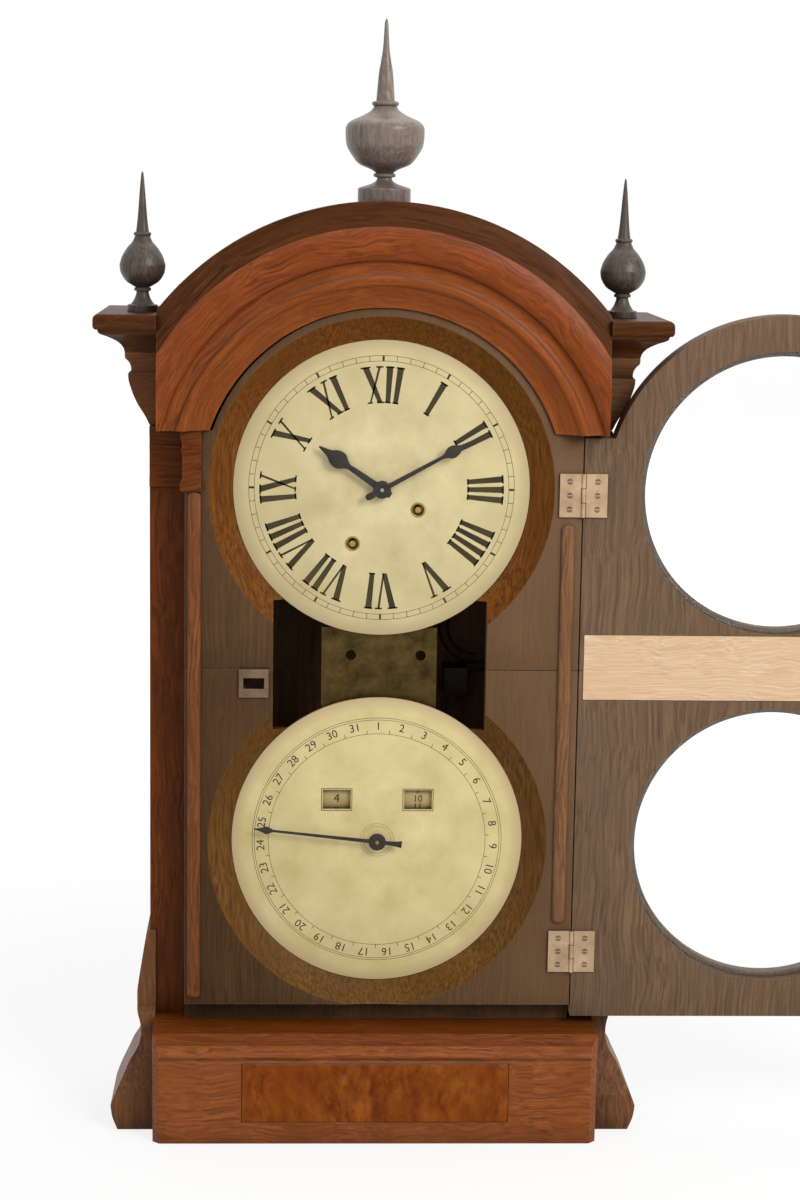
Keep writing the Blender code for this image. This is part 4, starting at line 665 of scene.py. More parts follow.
@dataclass(frozen=True)
class Wood(Finish):
    """A varnished or bare wood."""

    name: str
    light: Colour
    dark: Colour
    cloud: Colour
    cloud_share: float = 0.5
    line_width: float = 0.0019
    line_length: float = 0.09
    swirl: float = 0.2
    cloud_size: float = 0.05
    roughness: float = 0.42
    specular: float = 0.3
    coat: float = 0.0
    wear: float = 0.5
    worn: Colour = srgb(176, 120, 82)
    dust: float = 0.25
    dusty: Colour = srgb(168, 150, 132)
    # How much painted shade darkens corners, recesses and joints.
    corner_shade: float = 0.6
    # Painted light: how much the upper right of a piece is lightened, and the colour it goes to.
    lit_share: float = 0.0
    lit_side: Colour = srgb(134, 103, 76)

    def grained(self, wiring: Wiring, spot: object, grain: Grain, centre: Sequence[float]) -> object:
        """Coordinates whose Z runs along the wood's lines.

        Args:
            wiring: The material's wiring.
            spot: The object's own coordinates.
            grain: Which way the lines run.
            centre: The middle of the arch, for lines that run around it.

        Returns:
            The socket of the turned coordinates.
        """
        split = wiring.node("SeparateXYZ")
        wiring.feed(split.inputs[0], spot)
        x, y, z = split.outputs
        if grain is Grain.AROUND:
            side = wiring.math("SUBTRACT", x, centre[0])
            rise = wiring.math("SUBTRACT", z, centre[2])
            angle = wiring.math("ARCTAN2", side, rise)
            reach = wiring.math("SQRT", wiring.math("ADD", wiring.math("POWER", side, 2), wiring.math("POWER", rise, 2)))
            x, y, z = reach, y, wiring.math("MULTIPLY", angle, 0.17)
        elif grain is Grain.ACROSS:
            x, y, z = z, y, x
        elif grain is Grain.DEEP:
            x, y, z = x, z, y
        joined = wiring.node("CombineXYZ")
        for socket, value in zip(joined.inputs, (x, y, z)):
            wiring.feed(socket, value)
        return joined.outputs[0]

    def material(self, grain: Grain = Grain.UPRIGHT, centre: Sequence[float] = (0, 0, 0)) -> bpy.types.Material:
        """The finished material.

        Args:
            grain: Which way the lines run.
            centre: The middle of the arch, for lines that run around it.

        Returns:
            The material, made once for each way.
        """
        label = f"{self.name}_{grain.value}"
        if label in bpy.data.materials:
            return bpy.data.materials[label]
        material, wiring, shader, spot = self.begin(label)
        along = self.grained(wiring, spot, grain, centre)
        length = self.line_length if grain is not Grain.BURL else self.line_width * 2
        wood = Effects.place(
            wiring,
            "wood_grain",
            Vector=along,
            Line_Width=self.line_width,
            Length=length,
            Swirl=self.swirl,
            Cloud_Size=self.cloud_size,
        )
        colour = wiring.mix(wood.outputs["Lines"], self.dark, self.light)
        clouds = wiring.spread(wood.outputs["Clouds"], 0.38, 0.66, 0.0, self.cloud_share)
        colour = wiring.mix(clouds, colour, self.cloud)
        pores = wiring.math("MULTIPLY", wood.outputs["Pores"], 0.35)
        colour = wiring.mix(pores, colour, self.dark)
        # Painted light: the upper right of the piece turns towards a lighter colour.
        if self.lit_share:
            lit_side = Effects.place(wiring, "painted_side_light", Vector=spot, Amount=self.lit_share)
            colour = wiring.mix(lit_side.outputs["Mask"], colour, self.lit_side)
        # Painted shade: corners, recesses and joints darken towards a deep copy of the wood's dark colour.
        corner_shade = Effects.place(wiring, "painted_corner_shade", Vector=spot, Amount=self.corner_shade)
        colour = wiring.mix(corner_shade.outputs["Mask"], colour, tuple(0.4 * value for value in self.dark))
        wear = Effects.place(wiring, "edge_wear", Vector=spot, Amount=self.wear)
        colour = wiring.mix(wear.outputs["Mask"], colour, self.worn)
        dust = Effects.place(wiring, "settled_dust", Vector=spot, Amount=self.dust)
        colour = wiring.mix(dust.outputs["Mask"], colour, self.dusty)
        wiring.feed(shader.inputs["Base Color"], colour)
        rubbed = Effects.place(wiring, "rubbed", Vector=spot, Base=self.roughness, Range=0.12)
        wiring.feed(shader.inputs["Roughness"], rubbed.outputs["Roughness"])
        shader.inputs["Specular IOR Level"].default_value = self.specular
        shader.inputs["Coat Weight"].default_value = self.coat
        shader.inputs["Coat Roughness"].default_value = 0.25
        self.bump(wiring, shader, wood.outputs["Height"], 0.25, 0.0002)
        return material


@dataclass(frozen=True)
class Paint(Finish):
    """Aged paint on a dial, a little paler at its rim."""

    name: str
    ground: Colour
    aged: Colour
    rim: Colour
    rim_from: float = 0.5
    rim_to: float = 0.52
    toned: float = 0.0
    roughness: float = 0.5

    def material(self, centre: Sequence[float] = (0, 0, 0)) -> bpy.types.Material:
        """The finished material.

        Args:
            centre: The dial's middle, from which the rim is measured.

        Returns:
            The material.
        """
        if self.name in bpy.data.materials:
            return bpy.data.materials[self.name]
        material, wiring, shader, spot = self.begin(self.name)
        clouds = wiring.spread(wiring.noise(spot, 28.0, 5.0, 0.6), 0.35, 0.7)
        colour = wiring.mix(clouds, self.ground, self.aged)
        flecks = wiring.spread(wiring.noise(spot, 260.0, 3.0, 0.7), 0.66, 0.78, 0.0, 0.5)
        colour = wiring.mix(flecks, colour, self.aged)
        offset = wiring.vector("SUBTRACT", spot, tuple(centre))
        flat = wiring.vector("MULTIPLY", offset.outputs[0], (1.0, 0.0, 1.0))
        reach = wiring.vector("LENGTH", flat.outputs[0]).outputs["Value"]
        colour = wiring.mix(wiring.spread(reach, 0.035, self.rim_to, 0.0, self.toned), colour, self.aged)
        ring = wiring.spread(reach, self.rim_from, self.rim_to)
        colour = wiring.mix(ring, colour, self.rim)
        wiring.feed(shader.inputs["Base Color"], colour)
        rubbed = Effects.place(wiring, "rubbed", Vector=spot, Base=self.roughness, Range=0.12)
        wiring.feed(shader.inputs["Roughness"], rubbed.outputs["Roughness"])
        shader.inputs["Specular IOR Level"].default_value = 0.25
        self.bump(wiring, shader, rubbed.outputs["Height"], 0.12, 0.0001)
        return material


@dataclass(frozen=True)
class Metal(Finish):
    """Brass, steel or iron with tarnish, or a metal under a dull blackening."""

    name: str
    bright: Colour
    tarnish: Colour
    roughness: float = 0.35
    tarnished: float = 0.5
    metallic: float = 1.0
    wear: float = 0.5

    def material(self) -> bpy.types.Material:
        """The finished material, made once."""
        if self.name in bpy.data.materials:
            return bpy.data.materials[self.name]
        material, wiring, shader, spot = self.begin(self.name)
        patches = wiring.spread(wiring.noise(spot, 70.0, 5.0, 0.65), 0.35, 0.68, 0.0, self.tarnished)
        colour = wiring.mix(patches, self.bright, self.tarnish)
        wear = Effects.place(wiring, "edge_wear", Vector=spot, Radius=0.0006, Amount=self.wear)
        colour = wiring.mix(wear.outputs["Mask"], colour, self.bright)
        wiring.feed(shader.inputs["Base Color"], colour)
        rubbed = Effects.place(wiring, "rubbed", Vector=spot, Base=self.roughness, Range=0.15, Grit=900.0)
        wiring.feed(shader.inputs["Roughness"], rubbed.outputs["Roughness"])
        shader.inputs["Metallic"].default_value = self.metallic
        self.bump(wiring, shader, rubbed.outputs["Height"], 0.15, 0.0001)
        return material


@dataclass(frozen=True)
class Glass(Finish):
    """Clear old glass with faint smears."""

    name: str
    tint: Colour

    def material(self) -> bpy.types.Material:
        """The finished material, made once."""
        if self.name in bpy.data.materials:
            return bpy.data.materials[self.name]
        material, wiring, shader, spot = self.begin(self.name)
        smears = wiring.spread(wiring.noise(spot, 30.0, 5.0, 0.65), 0.5, 0.8, 0.0, 0.03)
        wiring.feed(shader.inputs["Roughness"], smears)
        waves = wiring.noise(spot, 14.0, 1.0, 0.4)
        tint = wiring.mix(waves, self.tint, (1.0, 1.0, 1.0))
        wiring.feed(shader.inputs["Base Color"], tint)
        shader.inputs["Transmission Weight"].default_value = 1.0
        shader.inputs["IOR"].default_value = 1.45
        self.bump(wiring, shader, waves, 0.05, 0.0001)
        return material


CASE = Wood(
    "case_wood",
    srgb(166, 94, 45),
    srgb(98, 48, 17),
    srgb(130, 68, 21),
    0.65,
    wear=0.5,
    coat=0.06,
    specular=0.15,
    cloud_size=0.035,
    corner_shade=0.8,
)
BROWN_CASE = Wood(
    "brown_case_wood",
    srgb(142, 83, 42),
    srgb(76, 40, 14),
    srgb(106, 58, 22),
    0.6,
    wear=0.5,
    coat=0.06,
    specular=0.15,
    corner_shade=0.75,
)
DARK_CASE = Wood(
    "dark_case_wood",
    srgb(128, 66, 26),
    srgb(64, 29, 4),
    srgb(92, 44, 8),
    0.6,
    wear=0.45,
    coat=0.02,
    specular=0.09,
    dust=0.04,
    corner_shade=0.6,
)
ARCH_FACE = Wood(
    "arch_face_wood",
    srgb(156, 80, 32),
    srgb(92, 38, 6),
    srgb(124, 56, 8),
    0.65,
    coat=0.05,
    specular=0.13,
    cloud_size=0.035,
    corner_shade=0.8,
)
# The arch's inner band; painted light makes its upper right paler.
ARCH_INNER = Wood(
    "arch_inner_wood",
    srgb(154, 82, 30),
    srgb(84, 38, 6),
    srgb(116, 56, 10),
    0.6,
    coat=0.04,
    specular=0.12,
    corner_shade=0.6,
    lit_share=0.3,
    lit_side=srgb(182, 94, 40),
)
CAP = Wood(
    "cap_wood",
    srgb(98, 54, 23),
    srgb(50, 25, 6),
    srgb(72, 37, 11),
    0.6,
    wear=0.4,
    coat=0.02,
    specular=0.07,
    dust=0.0,
    corner_shade=0.6,
)
WING = Wood(
    "wing_wood",
    srgb(144, 96, 62),
    srgb(76, 48, 26),
    srgb(106, 69, 37),
    0.6,
    coat=0.03,
    specular=0.12,
    dust=0.1,
    corner_shade=0.7,
)
BURL = Wood(
    "burl_veneer",
    srgb(156, 86, 24),
    srgb(88, 34, 0),
    srgb(126, 54, 4),
    0.6,
    line_width=0.009,
    swirl=1.6,
    cloud_size=0.045,
    coat=0.03,
    specular=0.09,
    wear=0.2,
    corner_shade=0.5,
)
# The dial boards: strong painted shade in their corners and recesses, and painted light that makes their upper right
# paler.
BOARD = Wood(
    "board_wood",
    srgb(88, 62, 34),
    srgb(52, 32, 13),
    srgb(66, 40, 16),
    0.65,
    cloud_size=0.08,
    roughness=0.6,
    specular=0.14,
    wear=0.4,
    worn=srgb(160, 135, 105),
    corner_shade=0.95,
    lit_share=0.75,
)
UPPER_SPLAY = Wood(
    "upper_splay_wood",
    srgb(134, 82, 28),
    srgb(76, 40, 8),
    srgb(100, 56, 12),
    0.6,
    roughness=0.55,
    specular=0.1,
    wear=0.5,
    worn=srgb(150, 112, 70),
    dust=0.0,
    corner_shade=0.7,
)
SPLAY = Wood(
    "splay_wood",
    srgb(126, 86, 38),
    srgb(70, 42, 13),
    srgb(92, 57, 19),
    0.6,
    roughness=0.55,
    specular=0.12,
    wear=0.5,
    worn=srgb(150, 112, 70),
    dust=0.0,
    corner_shade=0.9,
)
# A lighter copy of the brown wood for the right bead and right corbel: painted light, as on the side the key lamp falls
# on.
RIGHT_LIT_WOOD = Wood(
    "right_lit_wood",
    srgb(150, 108, 74),
    srgb(88, 58, 36),
    srgb(116, 80, 52),
    0.6,
    roughness=0.55,
    specular=0.14,
    wear=0.5,
    corner_shade=0.7,
)
LEDGE = Wood(
    "ledge_wood",
    srgb(138, 72, 28),
    srgb(76, 34, 6),
    srgb(104, 50, 10),
    0.6,
    wear=0.5,
    coat=0.03,
    specular=0.1,
    dust=0.0,
    corner_shade=0.5,
)
DOOR_INNER = Wood(
    "door_wood",
    srgb(130, 103, 78),
    srgb(86, 66, 50),
    srgb(106, 85, 67),
    0.6,
    cloud_size=0.07,
    roughness=0.62,
    specular=0.16,
    wear=0.4,
    worn=srgb(165, 140, 112),
    dust=0.08,
    corner_shade=0.25,
)
# A pale wood for the door's hinge-side edge face, which lies in shade: painted light.
LIT_DOOR_EDGE = Wood(
    "lit_door_edge",
    srgb(196, 164, 132),
    srgb(156, 126, 98),
    srgb(176, 146, 116),
    0.6,
    cloud_size=0.07,
    roughness=0.6,
    specular=0.16,
    wear=0.2,
    corner_shade=0.0,
)
PALE = Wood(
    "pale_wood",
    srgb(238, 208, 178),
    srgb(204, 168, 128),
    srgb(218, 182, 142),
    0.6,
    line_width=0.0012,
    roughness=0.7,
    specular=0.15,
    wear=0.2,
    worn=srgb(245, 225, 200),
    dust=0.1,
    corner_shade=0.3,
)
HIDDEN = Wood(
    "hidden_wood",
    srgb(126, 96, 66),
    srgb(86, 60, 38),
    srgb(104, 78, 54),
    0.6,
    line_width=0.005,
    roughness=0.8,
    specular=0.1,
    wear=0.3,
    worn=srgb(150, 125, 98),
    dust=0.35,
    corner_shade=0.5,
)
FINIAL = Wood(
    "finial_wood",
    srgb(152, 136, 125),
    srgb(84, 72, 65),
    srgb(120, 105, 97),
    0.6,
    line_width=0.002,
    roughness=0.38,
    coat=0.15,
    wear=0.4,
    worn=srgb(160, 144, 130),
    dust=0.3,
    cloud_size=0.02,
    corner_shade=0.8,
)
SIDE_FINIAL = Wood(
    "side_finial_wood",
    srgb(96, 83, 71),
    srgb(48, 38, 31),
    srgb(70, 58, 49),
    0.6,
    line_width=0.002,
    roughness=0.4,
    coat=0.1,
    wear=0.35,
    worn=srgb(132, 116, 102),
    dust=0.15,
    cloud_size=0.02,
    corner_shade=0.8,
)
TIME_PAINT = Paint("time_dial_paint", srgb(226, 212, 164), srgb(200, 184, 136), srgb(190, 172, 132), 0.1, 0.1085, 0.6)
CALENDAR_PAINT = Paint(
    "calendar_dial_paint", srgb(226, 211, 158), srgb(202, 184, 128), srgb(194, 172, 132), 0.1, 0.1085, 0.35
)
INK = Paint("black_figures", srgb(50, 43, 24), srgb(76, 66, 38), srgb(60, 52, 32), roughness=0.6)
PAPER = Paint("aged_paper", srgb(186, 168, 120), srgb(152, 134, 90), srgb(180, 160, 120), roughness=0.8)
HAND = Metal("blackened_steel", srgb(60, 56, 52), srgb(28, 26, 24), 0.45, 0.6, 0.7)
BRASS = Metal("dull_brass", srgb(176, 148, 88), srgb(104, 84, 48), 0.42, 0.7)
# A darker copy of the brass for the calendar plates that show deep in the slot between the dials: painted shade over
# real tarnish.
SHADED_BRASS = Metal("shaded_brass", srgb(90, 73, 40), srgb(44, 36, 20), 0.5, 0.85)
WORN_PLATE = Metal("worn_plate", srgb(126, 104, 84), srgb(82, 65, 50), 0.5, 0.6)
HINGE = Metal("worn_brass", srgb(190, 164, 134), srgb(138, 110, 82), 0.5, 0.6)
SCREW = Metal("screw_steel", srgb(124, 108, 90), srgb(84, 70, 56), 0.45, 0.6)
STEEL = Metal("dull_steel", srgb(160, 158, 154), srgb(96, 90, 84), 0.4, 0.6)
IRON = Metal("black_iron", srgb(54, 44, 36), srgb(30, 22, 16), 0.6, 0.7, 0.8)
PANE = Glass("old_glass", (0.97, 0.99, 0.98))


# Placing


def dress(
    piece: bpy.types.Object,
    body: str,
    material: bpy.types.Material,
    nodes: Sequence[str] = (),
    sharp: float = 35.0,
    even: bool = True,
) -> bpy.types.Object:
    """Finishes a new piece and ties it to the frame.

    Args:
        piece: The piece.
        body: The body that it rides on.
        material: Its material.
        nodes: The frame's nodes that it stands for.
        sharp: Edges over this many degrees stay sharp.
        even: Whether large faces keep flat shading beside eased edges.

    Returns:
        The piece.
    """
    piece.data.shade_smooth()
    piece.data.set_sharp_from_angle(angle=math.radians(sharp))
    if even:
        weighted = piece.modifiers.new("even_light", "WEIGHTED_NORMAL")
        weighted.keep_sharp = True
    piece.data.materials.clear()
    piece.data.materials.append(material)
    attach(piece, body)
    if nodes:
        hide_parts(*nodes)
    LOG.info("%s: %d faces on %s", piece.name, len(piece.data.polygons), body)
    return piece


def stained(piece: bpy.types.Object, material: bpy.types.Material, chosen: Callable[[Vector], bool]) -> None:
    """Gives some faces of a piece another finish.

    Args:
        piece: The piece.
        material: The other finish.
        chosen: Says of a face's middle whether the face takes it.
    """
    piece.data.materials.append(material)
    last = len(piece.data.materials) - 1
    for face in piece.data.polygons:
        if chosen(face.center):
            face.material_index = last


def coat_node(name: str, material: bpy.types.Material) -> None:
    """Gives one of the frame's own nodes its finish.

    Args:
        name: The node.
        material: Its material.
    """
    node = frame["nodes"][name]
    node.data.materials.clear()
    node.data.materials.append(material)
    LOG.info("%s keeps its solid, with %s", name, material.name)


def eased_node(name: str, material: bpy.types.Material, width: float = EDGE) -> None:
    """Gives a flat-sided node its finish and eased edges.

    Args:
        name: The node.
        material: Its material.
        width: The width of its eased edges.
    """
    coat_node(name, material)
    node = frame["nodes"][name]
    weld = node.modifiers.new("weld", "WELD")
    weld.merge_threshold = 0.00001
    flat = node.modifiers.new("flat", "DECIMATE")
    flat.decimate_type = "DISSOLVE"
    flat.angle_limit = math.radians(1)
    bevel = node.modifiers.new("eased", "BEVEL")
    bevel.width = width
    bevel.segments = 2
    bevel.limit_method = "ANGLE"
    bevel.angle_limit = math.radians(40)


@dataclass
class Base:
    """The base: front block, burl panel, wings and floor."""

    wall: float = 0.014
    cant: float = 0.005
    line: float = 0.0016
    slope: float = 0.006
    band: float = 0.019
    dark_from: float = 0.011
    hollow_top: float = 0.070
    panel_edge: float = 0.0012
    wing_runs: tuple = (
        ((0.82, 0.0), (0.95, 0.07), (1.0, 0.13)),
        ((1.0, 0.13), (0.86, 0.20), (0.64, 0.29), (0.52, 0.34), (0.30, 0.41), (0.22, 0.47)),
        ((0.22, 0.47), (0.25, 0.53), (0.34, 0.59)),
        ((0.34, 0.59), (0.34, 0.68), (0.21, 0.85), (0.08, 1.0)),
    )
    foot_runs: tuple = (
        ((0.952, 0.0), (1.0, 0.12), (0.971, 0.30)),
        ((0.971, 0.30), (0.781, 0.46), (0.571, 0.62), (0.438, 0.78), (0.362, 0.96)),
    )

    def build(self) -> None:
        """Makes every piece of the base."""
        self.front()
        self.panel()
        for side, sign in (("left", -1), ("right", 1)):
            self.wing(side, sign)
        coat_node("base_floor", HIDDEN.material(Grain.ACROSS))

    def front(self) -> None:
        """The hollow front block with canted ends, a ledge that slopes off and a scratched line under it."""
        low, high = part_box("base_front")
        cant = self.cant
        plan = [
            (low.x, high.y),
            (low.x, low.y + cant),
            (low.x + cant, low.y),
            (high.x - cant, low.y),
            (high.x, low.y + cant),
            (high.x, high.y),
        ]
        piece = extruded("base_front_moulded", plan, low.z, high.z, "Z", EDGE)
        band = high.z - self.band
        nose = smooth_line([(low.y + self.line, band), (low.y, band + self.line * 2), (low.y + 0.0008, band + 0.006)], 5)
        slope = smooth_line([nose[-1], (low.y + self.slope * 0.35, band + 0.0125), (low.y + self.slope, high.z)], 5)
        side = [(low.y - PAST, high.z + PAST), (low.y - PAST, band - self.line), (low.y, band - self.line)]
        side += [(low.y + self.line, band - self.line / 2), *nose, *slope[1:], (low.y + self.slope, high.z + PAST)]
        shaped(piece, extruded("band_tool", side, low.x - PAST, high.x + PAST, "X", 0))
        hollow = block(
            "hollow_tool",
            (low.x + self.wall, low.y + self.wall, low.z - PAST),
            (high.x - self.wall, high.y + PAST, self.hollow_top),
            0,
        )
        shaped(piece, hollow)
        panel_low, panel_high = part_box("base_burl_panel")
        recess = block(
            "recess_tool",
            (panel_low.x - HAIR, low.y - PAST, panel_low.z - HAIR),
            (panel_high.x + HAIR, panel_high.y + HAIR, panel_high.z + HAIR),
            0,
        )
        shaped(piece, recess)
        dress(piece, "case", CASE.material(Grain.ACROSS), ["base_front"])
        stained(piece, LEDGE.material(Grain.ACROSS), lambda middle: middle.z > band + self.dark_from)

    def panel(self) -> None:
        """The burl panel with its rounded edge."""
        low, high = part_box("base_burl_panel")
        piece = block("base_burl_veneer", low, high, self.panel_edge)
        dress(piece, "case", BURL.material(Grain.BURL), ["base_burl_panel"])

    def wing(self, side: str, sign: int) -> None:
        """One moulded wing, wrapped round the case's foot.

        Args:
            side: left or right.
            sign: -1 for left, 1 for right.
        """
        low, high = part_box(f"base_{side}_wing")
        case = abs(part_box(f"{side}_pilaster")[0 if sign < 0 else 1].x)
        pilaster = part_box(f"{side}_pilaster")[0].y
        inner = min(abs(low.x), abs(high.x))
        out = max(abs(low.x), abs(high.x)) - case
        tall = high.z - low.z
        outer = [(case + share * out, height * tall) for share, height in smooth_runs(self.wing_runs)]
        across = [(inner, 0.0), *outer, (inner, tall)]
        across = across if sign > 0 else mirrored(across)
        front_out = pilaster - low.y
        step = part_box("door_lower_frame")[0].z - HAIR * 4
        foot = [(pilaster - share * front_out, height * step) for share, height in smooth_runs(self.foot_runs)]
        depth = [*foot, (pilaster - 0.004, step), (pilaster - 0.004, (step + tall) / 2)]
        depth += [(pilaster - 0.002, tall), (high.y, tall), (high.y, 0.0)]
        piece = extruded(f"{side}_wing_moulded", across, low.y - PAST, high.y + PAST, "Y", 0)
        reach = sorted((sign * (inner - PAST), sign * (case + out + PAST)))
        shaped(piece, extruded("depth_tool", depth, reach[0], reach[1], "X", 0), "INTERSECT")
        core = sorted((sign * (inner - PAST), sign * (case + HAIR)))
        core_low = (core[0], pilaster - HAIR, -PAST)
        shaped(piece, block("core_tool", core_low, (core[1], high.y + PAST, tall + PAST), 0))
        dress(piece, "case", WING.material(Grain.UPRIGHT), [f"base_{side}_wing"], even=False)


@dataclass
class Walls:
    """Sides, pilasters, cheeks, back board and roof."""

    roof_thick: float = 0.007

    def build(self) -> None:
        """Finishes the flat walls and makes the back board and the roof."""
        for side in ("left", "right"):
            eased_node(f"{side}_side", DARK_CASE.material(Grain.UPRIGHT))
            eased_node(f"{side}_pilaster", DARK_CASE.material(Grain.UPRIGHT))
            eased_node(f"{side}_cheek", DARK_CASE.material(Grain.UPRIGHT))
        self.back()
        self.roof()

    def back(self) -> None:
        """The arched back board, planed from upright stuff."""
        low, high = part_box("back_board")
        centre = frame_spot("minute_turn").z
        radius = high.z - centre
        angle = math.acos(high.x / radius)
        top = arc(radius, angle, math.pi - angle, ROUND_STEPS // 2, (0, centre))
        piece = extruded("back_board_planed", [(low.x, low.z), (high.x, low.z), *top], low.y, high.y, "Y", EDGE)
        dress(piece, "case", HIDDEN.material(Grain.UPRIGHT), ["back_board"])

    def roof(self) -> None:
        """The bent roof behind the arch."""
        low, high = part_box("roof_shell")
        centre = frame_spot("minute_turn").z
        outer = high.z - centre
        inner = outer - self.roof_thick
        outer_angle = math.acos(high.x / outer)
        inner_angle = math.acos(high.x / inner)
        outline = arc(outer, outer_angle, math.pi - outer_angle, ROUND_STEPS, (0, centre))
        outline += arc(inner, math.pi - inner_angle, inner_angle, ROUND_STEPS, (0, centre))
        piece = extruded("roof_bent", outline, low.y, high.y, "Y", EDGE)
        spot = frame_spot("minute_turn")
        dress(piece, "case", DARK_CASE.material(Grain.AROUND, spot), ["roof_shell"])


def frame_spot(joint: str) -> Vector:
    """The place of a joint's axis."""
    found = next(one for one in frame["joints"] if one["name"] == joint)
    return Vector(found["pos_m"])


@dataclass
class Front:
    """The two dial boards and the beads at their edges."""

    splay: float = 0.126
    seat: float = 0.1095
    splay_depth: float = 0.012
    nose: float = 0.0012
    slot_half: float = 0.079
    slot_above: float = 0.050
    slot_below: float = 0.0475
    recess_top: float = 0.099
    bead_half: float = 0.005
    hinge_gap: float = 0.0005

    def build(self) -> None:
        """Makes both boards and both beads."""
        self.board("upper", frame_spot("minute_turn").z)
        self.board("lower", frame_spot("date_turn").z)
        for side in ("left", "right"):
            self.bead(side)

    def board(self, level: str, centre: float) -> None:
        """One dial board, with its splayed opening and its part of the slot.

        Args:
            level: upper or lower.
            centre: The height of its dial's middle.
        """
        node = f"{level}_front_board"
        low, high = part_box(node)
        edge = frame_spot("door_swing").x - self.hinge_gap
        if level == "upper":
            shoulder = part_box("arch_moulding")[0].z - HAIR
            outline = arched(low.x, edge, low.z, shoulder, high.z - centre, centre)
        else:
            outline = [(low.x, low.z), (edge, low.z), (edge, high.z), (low.x, high.z)]
        piece = extruded(f"{level}_board_fine", outline, low.y, high.y, "Y", EDGE)
        nose = [(self.splay + self.nose * (1 - math.sin(turn)), -self.nose * (1 - math.cos(turn)) * 0.7)
                for turn in (0, 0.5, 1.0, 1.4)]
        profile = [(0, PAST), (self.splay + self.nose, PAST), *nose]
        profile += [(self.seat, -self.splay_depth), (self.seat, low.y - high.y - PAST), (0, low.y - high.y - PAST)]
        shaped(piece, turned("opening_tool", profile, (0, low.y, centre), Turn.FRONT, ROUND_STEPS))
        seam = (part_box("upper_front_board")[0].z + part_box("lower_front_board")[1].z) / 2
        slot = block(
            "slot_tool",
            (-self.slot_half, low.y - PAST, seam - self.slot_below),
            (self.slot_half, high.y + PAST, seam + self.slot_above),
            0,
        )
        shaped(piece, slot)
        if level == "lower":
            wide = (low.x - PAST, low.y - PAST, low.z - PAST)
            shaped(piece, block("recess_tool", wide, (edge + PAST, low.y + self.splay_depth, self.recess_top), 0))
            latch = frame_spot("latch_turn")
            hinge = frame_spot("door_swing")
            spot = (2 * hinge.x - latch.x, low.y, latch.z)
            pocket = [(0, PAST), (0.0082, PAST), (0.0082, -0.010), (0, -0.010)]
            shaped(piece, turned("pocket_tool", pocket, spot, Turn.FRONT, SMALL_STEPS))
        dress(piece, "case", BOARD.material(Grain.UPRIGHT), [node], even=False)
        reach = self.splay + self.nose / 2

        def splayed(middle: Vector) -> bool:
            """Whether a face belongs to the splay round the dial."""
            off = math.hypot(middle.x, middle.z - centre)
            return off < reach and middle.y > low.y + HAIR / 2 and middle.y < high.y - HAIR

        wood = UPPER_SPLAY if level == "upper" else SPLAY
        stained(piece, wood.material(Grain.UPRIGHT), splayed)

    def bead(self, side: str) -> None:
        """One half-round bead with rounded ends.

        Args:
            side: left or right.
        """
        node = f"{side}_bead"
        low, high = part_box(node)
        middle = (low.x + high.x) / 2
        proud = high.y - low.y
        work = bmesh.new()
        ends = [(0.0, 0.35), (0.0012, 0.8), (0.003, 1.0)]
        levels = [(low.z + rise, share) for rise, share in ends]
        levels += [(high.z - rise, share) for rise, share in reversed(ends)]
        rings = []
        for height, share in levels:
            ring = []
            for across, depth in arc(1.0, 0, math.pi, 16):
                spot = (middle + self.bead_half * share * across, high.y - proud * share * depth, height)
                ring.append(work.verts.new(spot))
            rings.append(ring)
        for lower, upper in zip(rings, rings[1:]):
            for index in range(len(lower)):
                after = (index + 1) % len(lower)
                work.faces.new((lower[index], lower[after], upper[after], upper[index]))
        work.faces.new(rings[0])
        work.faces.new(rings[-1])
        piece = mesh_of(f"{side}_bead_round", work)
        # The right bead takes a lighter copy of the wood: painted light.
        wood = BROWN_CASE if side == "left" else RIGHT_LIT_WOOD
        dress(piece, "case", wood.material(Grain.UPRIGHT), [node], even=False)


